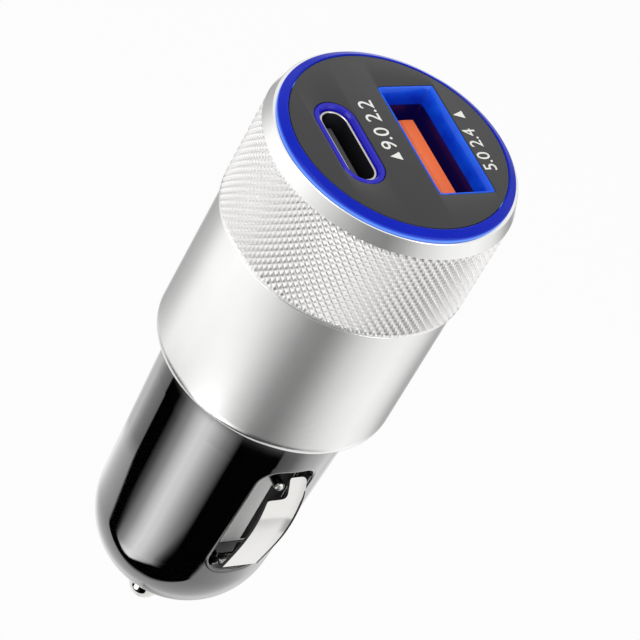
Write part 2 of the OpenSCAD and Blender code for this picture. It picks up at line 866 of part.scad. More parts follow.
// Chip fuse in the supply line
module fuse() {
    color([0.9, 0.88, 0.8]) on_board(0, -18.5, 1) translate([-1.6, -0.8, 0]) cube([3.2, 1.6, 0.6]);
}

// Chip resistors and capacitors on both faces
module chip_parts() {
    low_front = board_half - 1.5;
    low_back = board_half - 1.3;
    high_front = board_wide - 2.7;
    high_back = board_wide - 2;
    places = [
        [low_front, -18.5, 1], [low_front, -12.5, 1], [low_back, -17, -1], [low_back, -10, -1],
        [high_front, 5, 1], [high_front, 8, 1], [high_front, 11, 1],
        [high_back, 6, -1], [high_back, 10, -1],
    ];
    color([0.75, 0.65, 0.5]) for (p = places, x = [-p[0], p[0]])
        on_board(x, p[1], p[2]) translate([-0.8, -0.4, 0]) cube([1.6, 0.8, 0.5]);
}

head_sleeve();
plug_body();
inner_sleeve();
light_ring();
face_plate();
usb_a_bezel();
usb_c_bezel();
usb_a_shell();
usb_a_tongue();
usb_a_contacts();
usb_c_shell();
usb_c_tongue();
usb_c_contacts();
ground_spring_right();
ground_spring_left();
ground_terminal_right();
ground_terminal_left();
tip_contact();
tip_spring();
tip_terminal();
port_board();
main_board();
status_leds();
inductor_core();
inductor_winding();
input_capacitor();
output_capacitor();
buck_controller();
port_controller();
fuse();
chip_parts();
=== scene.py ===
"""Looks of a two-port USB charger plug for a vehicle's 12 V socket.

Sizes are in millimetres in the part's own frame: the origin is on the plug's axis in the plane
of the head's lower shoulder, +Z runs up the axis to the ports, and +X along their long sides.
"""

import logging
import math
from collections.abc import Callable, Sequence
from dataclasses import dataclass, field
from enum import Enum

import bmesh
import bpy
import numpy as np
from mathutils import Matrix


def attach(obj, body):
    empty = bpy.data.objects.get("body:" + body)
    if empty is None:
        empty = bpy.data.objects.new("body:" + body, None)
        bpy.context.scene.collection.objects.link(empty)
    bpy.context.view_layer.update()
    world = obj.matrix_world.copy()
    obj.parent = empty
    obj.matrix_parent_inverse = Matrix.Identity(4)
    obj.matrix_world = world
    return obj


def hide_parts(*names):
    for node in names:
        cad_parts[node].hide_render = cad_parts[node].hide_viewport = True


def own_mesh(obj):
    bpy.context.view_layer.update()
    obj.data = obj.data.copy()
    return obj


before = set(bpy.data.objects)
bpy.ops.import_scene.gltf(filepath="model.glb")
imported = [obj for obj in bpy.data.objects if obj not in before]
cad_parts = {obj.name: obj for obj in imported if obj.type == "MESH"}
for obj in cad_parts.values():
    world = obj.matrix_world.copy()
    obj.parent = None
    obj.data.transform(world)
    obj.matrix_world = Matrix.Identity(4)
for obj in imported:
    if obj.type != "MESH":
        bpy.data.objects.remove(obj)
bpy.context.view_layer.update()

Array = np.ndarray
Socket = bpy.types.NodeSocket
Tree = bpy.types.NodeTree
Piece = bpy.types.Object
Pair = tuple[float, float]
Triple = tuple[float, float, float]

MM = 0.001
TURN = 2 * math.pi
WELD = 0.002 * MM
SHARP = math.radians(32)

log = logging.getLogger("charger")


class Body(Enum):
    """Rigid bodies that a piece can ride on."""

    HOUSING = "housing"
    TIP = "tip"
    SPRING_RIGHT = "spring_right"
    SPRING_LEFT = "spring_left"


# ---- Surfaces ----


@dataclass
class Patch:
    """Part of a mesh: points in millimetres, and faces as rows of point numbers."""

    points: Array
    faces: list[list[int]]

    def turned(self, degrees: float) -> "Patch":
        """Returns the patch turned about the axis by an angle."""
        a = math.radians(degrees)
        turn = np.array([[math.cos(a), math.sin(a), 0], [-math.sin(a), math.cos(a), 0], [0, 0, 1]])
        return Patch(self.points @ turn, self.faces)

    def moved(self, x: float = 0, y: float = 0, z: float = 0) -> "Patch":
        """Returns the patch carried along by a step."""
        return Patch(self.points + np.array([x, y, z]), self.faces)

    def sideways(self) -> "Patch":
        """Returns the patch with its X, Y and Z laid along the part's Y, Z and X."""
        return Patch(self.points[:, [2, 0, 1]], self.faces)


def grid_faces(rows: int, columns: int, wrap_rows: bool, wrap_columns: bool) -> Array:
    """Four-sided faces between neighbouring points of a grid.

    Args:
        rows: Number of rows.
        columns: Number of points in a row.
        wrap_rows: Whether the last row joins the first.
        wrap_columns: Whether a row's last point joins its first.

    Returns:
        Point numbers, four to a face.
    """
    row = np.arange(rows if wrap_rows else rows - 1)[:, None]
    column = np.arange(columns if wrap_columns else columns - 1)[None, :]
    next_row, next_column = (row + 1) % rows, (column + 1) % columns
    corners = (row * columns + column, row * columns + next_column,
               next_row * columns + next_column, next_row * columns + column)
    return np.stack(np.broadcast_arrays(*corners), axis=-1).reshape(-1, 4)


def sheet(points: Array, wrap_rows: bool = False, wrap_columns: bool = False) -> Patch:
    """Surface through a grid of points.

    Args:
        points: Grid of points, rows by columns by three.
        wrap_rows: Whether the last row joins the first.
        wrap_columns: Whether a row's last point joins its first.

    Returns:
        The surface.
    """
    rows, columns = points.shape[:2]
    faces = grid_faces(rows, columns, wrap_rows, wrap_columns)
    return Patch(points.reshape(-1, 3), faces.tolist())


def closed_tube(rings: Array) -> Patch:
    """Returns the surface through rings of points, with both ends filled from their middles."""
    ends = [np.broadcast_to(end.mean(axis=1, keepdims=True), end.shape)
            for end in (rings[:1], rings[-1:])]
    return sheet(np.concatenate([ends[0], rings, ends[1]]), wrap_columns=True)


def revolve(profile: Array, angles: Array, closed: bool = False) -> Patch:
    """Turns a half outline about the axis: x = r cos a, y = r sin a, z = z.

    Args:
        profile: Radius and height of each point of the half outline.
        angles: Angles of the columns, all the way round.
        closed: Whether the outline's last point joins its first.

    Returns:
        The surface of revolution.
    """
    r, z = profile[:, :1], profile[:, 1:]
    points = np.stack([r * np.cos(angles), r * np.sin(angles), z + 0 * angles], axis=-1)
    return sheet(points, wrap_rows=closed, wrap_columns=True)


def even_angles(count: int) -> Array:
    """Returns angles spread evenly round a full turn."""
    return np.arange(count) * TURN / count


def circle(r: float, angles: Array) -> Array:
    """Returns the points r cos a, r sin a of a circle."""
    return r * np.stack([np.cos(angles), np.sin(angles)], axis=-1)


def quadratic(start: Array, corner: Array, end: Array, s: Array) -> Array:
    """Returns the curve (1 - s)^2 start + 2 s (1 - s) corner + s^2 end."""
    return (1 - s) ** 2 * start + 2 * s * (1 - s) * corner + s**2 * end


def distances(line: Array) -> Array:
    """Returns the distance along a path at each of its points."""
    return np.concatenate([[0], np.cumsum(np.linalg.norm(np.diff(line, axis=0), axis=1))])


def spaced(line: Array, count: int) -> Array:
    """Returns points at even steps along a flat path."""
    run = distances(line)
    even = np.linspace(0, 1, count) * run[-1]
    return np.column_stack([np.interp(even, run, line[:, k]) for k in (0, 1)])


def rounded(corners: Sequence[Triple], closed: bool = True, steps: int = 5) -> Array:
    """Outline with its corners rounded.

    Each corner becomes a quadratic curve from a point its radius before it to a point its
    radius after it, pulled to the corner. A support point on each side keeps the flats flat.

    Args:
        corners: Two coordinates and a radius for each corner.
        closed: Whether the last corner joins the first. The ends of an open outline stay sharp.
        steps: Number of steps in a rounded corner.

    Returns:
        The outline's points.
    """
    table = np.array(corners, float)
    p, radius = table[:, :2], table[:, 2:]
    before, after = np.roll(p, 1, axis=0) - p, np.roll(p, -1, axis=0) - p
    before /= np.linalg.norm(before, axis=1, keepdims=True)
    after /= np.linalg.norm(after, axis=1, keepdims=True)
    s = np.linspace(0, 1, steps + 1)[None, :, None]
    start, end, corner = (p + before * radius)[:, None], (p + after * radius)[:, None], p[:, None]
    curve = quadratic(start, corner, end, s)
    support = 0.3 * radius[:, None]
    curve = np.concatenate([start + before[:, None] * support, curve,
                            end + after[:, None] * support], axis=1)
    if not closed:
        curve[0], curve[-1] = p[0], p[-1]
    return curve.reshape(-1, 2)


def rect_ring(width: float, height: float, corner: float, across: int, along: int) -> Array:
    """Rectangle with rounded corners, sampled evenly on each side from mid-corner to mid-corner.

    Args:
        width: Full width.
        height: Full height.
        corner: Radius of the corners, cut down to half the smaller side.
        across: Number of steps on each of the lower and upper sides.
        along: Number of steps on each of the two upright sides.

    Returns:
        Points counter-clockwise from the lower left corner.
    """
    r = min(corner, width / 2, height / 2)
    sides = []
    spans = [(width, height, across), (height, width, along)] * 2
    for (length, depth, steps), (c, d) in zip(spans, [(1, 0), (0, 1), (-1, 0), (0, -1)]):
        arc = r * math.pi / 4
        s = np.arange(steps) / steps * (2 * arc + length - 2 * r)
        straight = np.clip(s - arc, 0, length - 2 * r)
        swing = (np.minimum(s, arc) + np.maximum(s - arc - length + 2 * r, 0) - arc) / max(r, 1e-9)
        x = straight - length / 2 + r + r * np.sin(swing)
        y = -depth / 2 + r - r * np.cos(swing)
        sides.append(np.stack([x * c - y * d, x * d + y * c], axis=-1))
    return np.concatenate(sides)


def stack(width: float, height: float, levels: Sequence[Triple],
          closed: bool = False, steps: tuple[int, int] = (24, 16)) -> Patch:
    """Rings of a rounded rectangle one above the other, each grown by its own margin.

    Args:
        width: Full width of the rectangle.
        height: Full height of the rectangle.
        levels: Margin, corner radius and height of each ring.
        closed: Whether the last ring joins the first, as on a tube. If not, both ends are filled.
        steps: Steps across and along, as rect_ring takes them.

    Returns:
        The surface through the rings.
    """
    rings = [np.column_stack([rect_ring(width + 2 * grow, height + 2 * grow, corner, *steps),
                              np.full(2 * sum(steps), z)]) for grow, corner, z in levels]
    if not closed:
        ends = [np.tile([0, 0, z], (2 * sum(steps), 1)) for z in (levels[0][2], levels[-1][2])]
        rings = [ends[0], *rings, ends[1]]
    return sheet(np.stack(rings), wrap_rows=closed, wrap_columns=True)


def block(low: Triple, high: Triple, edge: float) -> Patch:
    """Box between two corners, with its edges eased.

    Args:
        low: Lowest corner.
        high: Highest corner.
        edge: Radius of the edges.

    Returns:
        The box's surface.
    """
    size = np.subtract(high, low)
    levels = [(-edge, 0.2 * edge, low[2]), (0, edge, low[2] + edge),
              (0, edge, high[2] - edge), (-edge, 0.2 * edge, high[2])]
    box = stack(size[0], size[1], levels, steps=(6, 6))
    return box.moved((low[0] + high[0]) / 2, (low[1] + high[1]) / 2)


def plate(outlines: Sequence[Array], low: float, high: float, edge: float) -> Patch:
    """Flat plate whose first outline is its rim and whose other outlines are holes.

    Args:
        outlines: Closed outlines in the plate's plane.
        low: Height of the lower face.
        high: Height of the upper face.
        edge: Width of the bevel on every edge.

    Returns:
        The plate's surface.
    """
    curve = bpy.data.curves.new("plate", "CURVE")
    curve.dimensions, curve.fill_mode = "2D", "BOTH"
    curve.extrude, curve.bevel_depth, curve.offset = (high - low) / 2 - edge, edge, -edge
    curve.bevel_resolution = 1
    for outline in outlines:
        spline = curve.splines.new("POLY")
        spline.points.add(len(outline) - 1)
        flat = np.column_stack([outline, np.zeros(len(outline)), np.ones(len(outline))])
        spline.points.foreach_set("co", flat.ravel())
        spline.use_cyclic_u = True
    return curve_patch(curve).moved(z=(low + high) / 2)


def link(name: str, data: bpy.types.ID) -> Piece:
    """Returns a new object in the scene that holds the data."""
    made = bpy.data.objects.new(name, data)
    bpy.context.scene.collection.objects.link(made)
    return made


def curve_patch(curve: bpy.types.Curve) -> Patch:
    """Turns a curve or text into a patch and removes it.

    Args:
        curve: The curve, whose own unit is a millimetre.

    Returns:
        The curve's surface.
    """
    holder = link("holder", curve)
    made = holder.evaluated_get(bpy.context.evaluated_depsgraph_get()).to_mesh()
    points = np.empty(len(made.vertices) * 3)
    made.vertices.foreach_get("co", points)
    patch = Patch(points.reshape(-1, 3), [list(f.vertices) for f in made.polygons])
    bpy.data.objects.remove(holder)
    bpy.data.curves.remove(curve)
    return patch


def build_piece(name: str, patches: Sequence[Patch], sharp: float = SHARP) -> Piece:
    """Makes one object of patches, with its seams and poles welded and its faces outwards.

    Args:
        name: The piece's name.
        patches: The patches, which together close up.
        sharp: Angle between faces above which an edge is drawn sharp.

    Returns:
        The object, at the origin.
    """
    faces: list[list[int]] = []
    first = 0
    for patch in patches:
        faces += [[first + i for i in face] for face in patch.faces]
        first += len(patch.points)
    mesh = bpy.data.meshes.new(name)
    mesh.from_pydata(np.concatenate([p.points for p in patches]) * MM, [], faces)
    welded = bmesh.new()
    welded.from_mesh(mesh)
    bmesh.ops.remove_doubles(welded, verts=welded.verts, dist=WELD)
    bmesh.ops.recalc_face_normals(welded, faces=welded.faces)
    welded.to_mesh(mesh)
    welded.free()
    mesh.shade_smooth()
    mesh.set_sharp_from_angle(angle=sharp)
    return link(name, mesh)


# ---- Finishes ----


def linear(colour: str) -> tuple[float, float, float, float]:
    """Turns an sRGB hex colour such as "#3a3a3c" into linear red, green, blue and alpha."""
    srgb = np.array([int(colour[i : i + 2], 16) for i in (1, 3, 5)]) / 255
    rgb = np.where(srgb <= 0.04045, srgb / 12.92, ((srgb + 0.055) / 1.055) ** 2.4)
    return (float(rgb[0]), float(rgb[1]), float(rgb[2]), 1.0)


def empty_tree(owner: bpy.types.Material | bpy.types.World) -> Tree:
    """Returns the owner's node tree, switched on and emptied."""
    owner.use_nodes = True
    owner.node_tree.nodes.clear()
    return owner.node_tree


def add_node(tree: Tree, kind: str, inputs: dict | None = None,
             **settings: object) -> bpy.types.Node:
    """Adds a node with its settings, values and links.

    Args:
        tree: The node tree.
        kind: The node's type name.
        inputs: A value, or a socket to link from, for each input by name or number.
        **settings: The node's own properties.

    Returns:
        The node.
    """
    node = tree.nodes.new(kind)
    for name, value in settings.items():
        setattr(node, name, value)
    for name, value in (inputs or {}).items():
        if isinstance(value, Socket):
            tree.links.new(value, node.inputs[name])
        else:
            node.inputs[name].default_value = value
    return node


class Grain(Enum):
    """Direction that a finish's marks are drawn out in."""

    EVEN = (1, 1, 1)
    # Marks that run round the axis, as a lathe leaves them
    TURNED = (0.04, 0.04, 1)
    # Marks that run along the axis, as a die or a roller leaves them
    DRAWN = (1, 1, 0.05)
    # Marks that run along the ports' long sides
    ALONG_X = (0.05, 1, 1)


@dataclass(frozen=True)
class Finish:
    """Surface of a piece, as its maker would name it.

    The marks are a noise whose grain is pitch millimetres wide. It lifts the surface by depth
    millimetres, shifts the colour towards shade and spreads the roughness by spread. A glow
    with a span goes over to its far colour and strength between two heights in millimetres.
    """

    name: str
    slot: str
    colour: str
    shade: str
    roughness: float
    metallic: float = 0.0
    ior: float = 1.5
    coat: float = 0.0
    coat_ior: float = 1.5
    glow: str = "#000000"
    glow_strength: float = 0.0
    far_glow: str = "#000000"
    far_strength: float = 0.0
    glow_span: Pair | None = None
    grain: Grain = Grain.EVEN
    pitch: float = 0.3
    depth: float = 0.002
    spread: float = 0.04
    # Size of the slow drift of the colour
    drift: float = 6.0

    def material(self) -> bpy.types.Material:
        """Returns the finish's material, made once."""
        return bpy.data.materials.get(self.name) or self.make()

    def make(self) -> bpy.types.Material:
        """Makes the finish's material.

        Returns:
            The material.
        """
        material = bpy.data.materials.new(self.name)
        material.diffuse_color = linear(self.colour)
        tree = empty_tree(material)
        place = add_node(tree, "ShaderNodeTexCoord").outputs["Object"]
        scale = [share / (self.pitch * MM) for share in self.grain.value]
        drawn = add_node(tree, "ShaderNodeMapping", {"Vector": place, "Scale": scale}).outputs[0]
        marks = add_node(tree, "ShaderNodeTexNoise", {
            "Vector": drawn, "Scale": 1.0, "Detail": 3.0,
        }).outputs[0]
        low, high = max(0.0, self.roughness - self.spread), self.roughness + self.spread
        shader = add_node(tree, "ShaderNodeBsdfPrincipled", {
            "Base Color": self.tone(tree, place, marks),
            "Roughness": add_node(tree, "ShaderNodeMapRange", {
                "Value": marks, "From Min": 0.3, "From Max": 0.7, "To Min": low, "To Max": high,
            }).outputs[0],
            "Normal": add_node(tree, "ShaderNodeBump", {
                "Height": marks, "Strength": 1.0, "Distance": self.depth * MM,
            }).outputs[0],
            "Metallic": self.metallic, "IOR": self.ior,
            "Coat Weight": self.coat, "Coat IOR": self.coat_ior, "Coat Roughness": 0.03,
            "Emission Color": linear(self.glow), "Emission Strength": self.glow_strength,
        })
        if self.glow_span:
            self.grade(tree, place, shader)
        add_node(tree, "ShaderNodeOutputMaterial", {"Surface": shader.outputs[0]})
        return material

    def grade(self, tree: Tree, place: Socket, shader: bpy.types.Node) -> None:
        """Lets the glow change with height; this paints a highlight low on the light ring and shade
        deep in the larger port's funnel.

        Args:
            tree: The material's node tree.
            place: Object coordinates.
            shader: The surface shader.
        """
        near, far = (z * MM for z in self.glow_span)
        height = add_node(tree, "ShaderNodeSeparateXYZ", {0: place}).outputs[2]
        share = add_node(tree, "ShaderNodeMapRange", {0: height, 1: near, 2: far}).outputs[0]
        colour = add_node(tree, "ShaderNodeMix", {
            "Factor": share, 6: linear(self.glow), 7: linear(self.far_glow),
        }, data_type="RGBA").outputs[2]
        strength = add_node(tree, "ShaderNodeMapRange", {
            0: share, 3: self.glow_strength, 4: self.far_strength,
        }).outputs[0]
        tree.links.new(colour, shader.inputs["Emission Color"])
        tree.links.new(strength, shader.inputs["Emission Strength"])

    def tone(self, tree: Tree, place: Socket, marks: Socket) -> Socket:
        """Colour that drifts slowly over the piece and with its marks.

        Args:
            tree: The material's node tree.
            place: Object coordinates.
            marks: The noise of the marks.

        Returns:
            The colour.
        """
        drift = add_node(tree, "ShaderNodeTexNoise", {
            "Vector": place, "Scale": 1 / (self.drift * MM),
        }).outputs[0]
        both = add_node(tree, "ShaderNodeMath", {0: drift, 1: marks}, operation="MULTIPLY")
        return add_node(tree, "ShaderNodeMix", {
            "Factor": both.outputs[0], 6: linear(self.colour), 7: linear(self.shade),
        }, data_type="RGBA").outputs[2]


# Bead-blasted and clear anodised aluminium: pale, soft highlights that spread along the barrel
SATIN_ALUMINIUM = Finish("bead_blasted_aluminium", "sleeve_aluminium", "#ebebea", "#dededd",
                         roughness=0.21, metallic=1.0, pitch=0.12, depth=0.0007)
# Rolled knurl on the same aluminium: its crests are burnished, so they sparkle
KNURLED_ALUMINIUM = Finish("knurled_aluminium", "sleeve_aluminium", "#f2f1f0", "#e2e1e0",
                           roughness=0.30, metallic=1.0, pitch=0.1, depth=0.002)
# Groove under the knurl: rougher, and its darker colour is painted shade that draws the groove's
# shadow line
GROOVE_SHADE_ALUMINIUM = Finish("groove_painted_shade_aluminium", "sleeve_aluminium", "#8c8c8e", "#7c7c7e",
                          roughness=0.45, metallic=1.0, grain=Grain.TURNED, pitch=0.05,
                          depth=0.0004)
# Collar cut with a diamond tool after anodising: brighter, with fine rings round it
CUT_ALUMINIUM = Finish("diamond_cut_aluminium", "sleeve_aluminium", "#f0f0ef", "#e4e4e3",
                       roughness=0.14, metallic=1.0, grain=Grain.TURNED, pitch=0.06, depth=0.0004)
# High-gloss ABS, moulded in a polished tool: deep black with mirror-like reflections
GLOSS_BLACK_ABS = Finish("gloss_black_abs", "body_black", "#030303", "#060607",
                         roughness=0.04, ior=1.6, coat=1.0, coat_ior=1.9, pitch=1.5, depth=0.0002,
                         spread=0.01)
# Dark grey polycarbonate with a fine spark-eroded texture: a soft sheen and no sharp reflection
SATIN_GREY_PC = Finish("satin_grey_polycarbonate", "face_grey", "#212123", "#1c1c1e",
                       roughness=0.45, pitch=0.15, depth=0.0015)
# Blue polycarbonate lit from inside by the lamps behind it; the paler, stronger glow low at its
# outer edge, where it meets the metal rim, is a painted highlight
LIT_BLUE_PC = Finish("lit_blue_polycarbonate_painted_edge_highlight", "light_blue", "#0618a0", "#030a60",
                     roughness=0.2, ior=1.2, glow="#7ab4ff", glow_strength=0.9,
                     far_glow="#0c38d8", far_strength=0.16, glow_span=(30.0, 30.4), pitch=5.0,
                     depth=0.001)
# The same lit polycarbonate round the larger port; its glow fading from the mouth to dark deep
# inside is painted shade
LIT_BLUE_BEZEL = Finish("lit_blue_bezel_painted_depth_shade", "light_blue", "#0614a0", "#0c60d8",
                        roughness=0.10, ior=1.3, glow="#1c78f0", glow_strength=0.4,
                        far_glow="#1408a0", far_strength=0.04, glow_span=(30.75, 29.5), pitch=1.5,
                        depth=0.001)
# Thinner surround of the small port: a deep blue halo that leans to violet
LIT_BLUE_HALO = Finish("lit_blue_halo", "light_blue", "#140c80", "#1420a8",
                       roughness=0.2, ior=1.3, glow="#1c10b8", glow_strength=0.28, pitch=2.5,
                       depth=0.001)
# Nickel-plated and polished spring strip: a bright mirror with faint rolling marks
BRIGHT_NICKEL = Finish("polished_nickel_strip", "spring_nickel", "#e9e8e6", "#dcdbd8",
                       roughness=0.10, metallic=1.0, grain=Grain.DRAWN, pitch=0.08, depth=0.0003)
# Sheared edge of the same strip: dull, and its near-black colour is painted shade that draws a dark
# outline along the leaf
SHADED_STRIP_EDGE = Finish("sheared_strip_edge_painted_shade", "spring_nickel", "#2c2c2c", "#3c3c3c",
                      roughness=0.5, metallic=0.8, pitch=0.05, depth=0.002)
# Nickel-plated turned brass: bright, with fine rings left by the lathe
TURNED_NICKEL = Finish("turned_nickel_plated_brass", "tip_nickel", "#e6e4e0", "#d8d5d0",
                       roughness=0.09, metallic=1.0, grain=Grain.TURNED, pitch=0.08, depth=0.0004)
# Nickel-plated pressed steel: greyer and a little softer than the springs
PLATED_STEEL = Finish("nickel_plated_steel", "nickel", "#c9c6c0", "#b4b1ab",
                      roughness=0.2, metallic=1.0, grain=Grain.DRAWN, pitch=0.1, depth=0.0006)
# Satin nickel on a strip that is tumbled and not polished: pale, with blurred reflections
SATIN_NICKEL = Finish("satin_nickel_strip", "nickel", "#fcfcfb", "#f6f6f4",
                      roughness=0.55, metallic=0.1, grain=Grain.DRAWN, pitch=0.1, depth=0.0006)
# Near-black sheet with a low gloss laid on the strip: painted shade, for the shadow under the leaf
# and round the post
SHADE_BLACK = Finish("painted_shade_black", "nickel", "#08080a", "#0c0c0e",
                       roughness=0.5, ior=1.3, pitch=0.4, depth=0.002)
# Steel of the larger port with painted light and shade: its violet colour and faint glow stand in
# for the blue light on it, and its dark tone for the shade inside the port
PORT_LIGHT_AND_SHADE_STEEL = Finish("steel_painted_blue_light_and_shade", "nickel", "#34286c", "#221a50",
                      roughness=0.42, metallic=1.0, glow="#1c0c78", glow_strength=0.12,
                      grain=Grain.DRAWN, pitch=0.1, depth=0.0006)
# The same steel inside the small port, darkened: painted shade in the port's bore
BORE_SHADE_STEEL = Finish("steel_bore_painted_shade", "nickel", "#3c3c42", "#2e2e34",
                    roughness=0.42, metallic=1.0, grain=Grain.DRAWN, pitch=0.1, depth=0.0006)
# Orange PBT moulding: saturated, with a soft gloss
ORANGE_PBT = Finish("moulded_orange_pbt", "tongue_orange", "#ff7c3c", "#f06a30",
                    roughness=0.32, pitch=0.4, depth=0.003)
# Gold-flashed copper alloy: warm mirror-like strips
GOLD_FLASH = Finish("gold_flashed_contacts", "gold", "#e3bf6a", "#d8b05a",
                    roughness=0.16, metallic=1.0, pitch=0.1, depth=0.0003)
# Dark grey liquid-crystal polymer: matt and flow-marked
GREY_LCP = Finish("moulded_grey_lcp", "tongue_grey", "#303032", "#3c3c3e",
                  roughness=0.45, grain=Grain.DRAWN, pitch=0.2, depth=0.003)
# Drawn music wire, plated: dull grey with drawing lines
SPRING_WIRE = Finish("drawn_spring_wire", "spring_steel", "#b9b9b8", "#9d9d9c",
                     roughness=0.28, metallic=1.0, pitch=0.1, depth=0.001)
# Matt black ABS of the inner tube
MATT_BLACK_ABS = Finish("matt_black_abs", "inner_plastic", "#18181a", "#202022",
                        roughness=0.5, pitch=0.3, depth=0.004)
# Green solder mask over glass cloth: glossy, with the weave just telegraphing through
SOLDER_MASK = Finish("green_solder_mask", "laminate", "#1c5a34", "#12482a",
                     roughness=0.3, coat=0.4, pitch=0.45, depth=0.004)
# Clear yellowish epoxy of the lamps, faintly lit
LED_EPOXY = Finish("clear_led_epoxy", "led_resin", "#f0eed6", "#e4dfb4",
                   roughness=0.15, glow="#2a4cff", glow_strength=0.6, pitch=0.5)
# Sintered ferrite: matt, almost black and slightly porous
FERRITE = Finish("sintered_ferrite", "ferrite", "#343436", "#48484a",
                 roughness=0.65, pitch=0.15, depth=0.01)
# Enamelled copper wire wound in layers: the turns show as rings along its axis
ENAMELLED_COPPER = Finish("enamelled_copper_wire", "copper", "#b8683a", "#8c4424",
                          roughness=0.25, metallic=1.0, grain=Grain.ALONG_X, pitch=0.3, depth=0.05)
# Can of drawn aluminium in a shrunk printed sleeve
CAN_SLEEVE = Finish("sleeved_aluminium_can", "can_aluminium", "#5a6480", "#4c5670",
                    roughness=0.35, metallic=0.6, pitch=0.5, depth=0.002)
# Moulded epoxy of the chips: matt, with a fine stipple
CHIP_EPOXY = Finish("moulded_chip_epoxy", "chip_black", "#1c1c1e", "#262628",
                    roughness=0.55, pitch=0.12, depth=0.005)
# Fired ceramic of the chip parts and the fuse: chalky tan
CERAMIC = Finish("fired_ceramic", "ceramic", "#c4ae8c", "#b09a78",
                 roughness=0.5, pitch=0.2, depth=0.003)
# Pad-printed white ink: dense and slightly raised
WHITE_INK = Finish("white_pad_print", "face_grey", "#dcdcd8", "#c8c8c4",
                   roughness=0.5, pitch=0.1, depth=0.002)

# CAD nodes that keep their shape, and their finishes
KEPT_NODES = {
    "inner_sleeve": MATT_BLACK_ABS, "usb_a_shell": PORT_LIGHT_AND_SHADE_STEEL, "usb_a_contacts": GOLD_FLASH,
    "usb_c_contacts": GOLD_FLASH, "tip_terminal": PLATED_STEEL, "port_board": SOLDER_MASK,
    "main_board": SOLDER_MASK, "status_leds": LED_EPOXY, "inductor_core": FERRITE,
    "inductor_winding": ENAMELLED_COPPER, "input_capacitor": CAN_SLEEVE,
    "output_capacitor": CAN_SLEEVE, "buck_controller": CHIP_EPOXY, "port_controller": CHIP_EPOXY,
    "fuse": CERAMIC, "chip_parts": CERAMIC,
}


def dress(piece: Piece, *finishes: Finish, index: Array | None = None) -> None:
    """Gives a piece its finishes.

    Args:
        piece: The piece.
        *finishes: One finish, or several where the index tells them apart.
        index: Number of the finish that each face takes.
    """
    piece.data.materials.clear()
    for finish in finishes:
        piece.data.materials.append(finish.material())
    if index is not None:
        piece.data.polygons.foreach_set("material_index", index.astype(np.int32))


def face_rows(piece: Piece, kind: str) -> Array:
    """Returns X, Y and Z of each face's "center", in metres, or of its "normal"."""
    rows = np.empty(len(piece.data.polygons) * 3)
    piece.data.polygons.foreach_get(kind, rows)
    return rows.reshape(-1, 3).T


def dress_by_height(piece: Piece, bands: Sequence[tuple[float, Finish]]) -> None:
    """Gives a piece one finish below each height.

    Args:
        piece: The piece.
        bands: Upper height of each band in millimetres and its finish, from the lowest up.
    """
    limits = np.array([top for top, _ in bands[:-1]]) * MM
    dress(piece, *[finish for _, finish in bands],
          index=np.searchsorted(limits, face_rows(piece, "center")[2]))


def install(piece: Piece, body: Body, finish: Finish, *nodes: str) -> None:
    """Puts a finished piece on its body, in place of CAD nodes.

    Args:
        piece: The piece.
        body: The body that it moves with.
        finish: Not used.
        *nodes: CAD nodes that it stands for.
    """
    if nodes:
        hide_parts(*nodes)
    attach(piece, body.value)
    log.info("%s: %d faces, rides on %s", piece.name, len(piece.data.polygons), body.value)


def add_piece(name: str, patches: Sequence[Patch], finish: Finish, *nodes: str,
              body: Body = Body.HOUSING) -> Piece:
    """Builds a piece of one finish and puts it on its body.

    Args:
        name: The piece's name.
        patches: The patches, which together close up.
        finish: Its finish.
        *nodes: CAD nodes that it stands for.
        body: The body that it moves with.

    Returns:
        The piece.
    """
    piece = build_piece(name, patches)
    dress(piece, finish)
    install(piece, body, finish, *nodes)
    return piece


# ---- Head ----


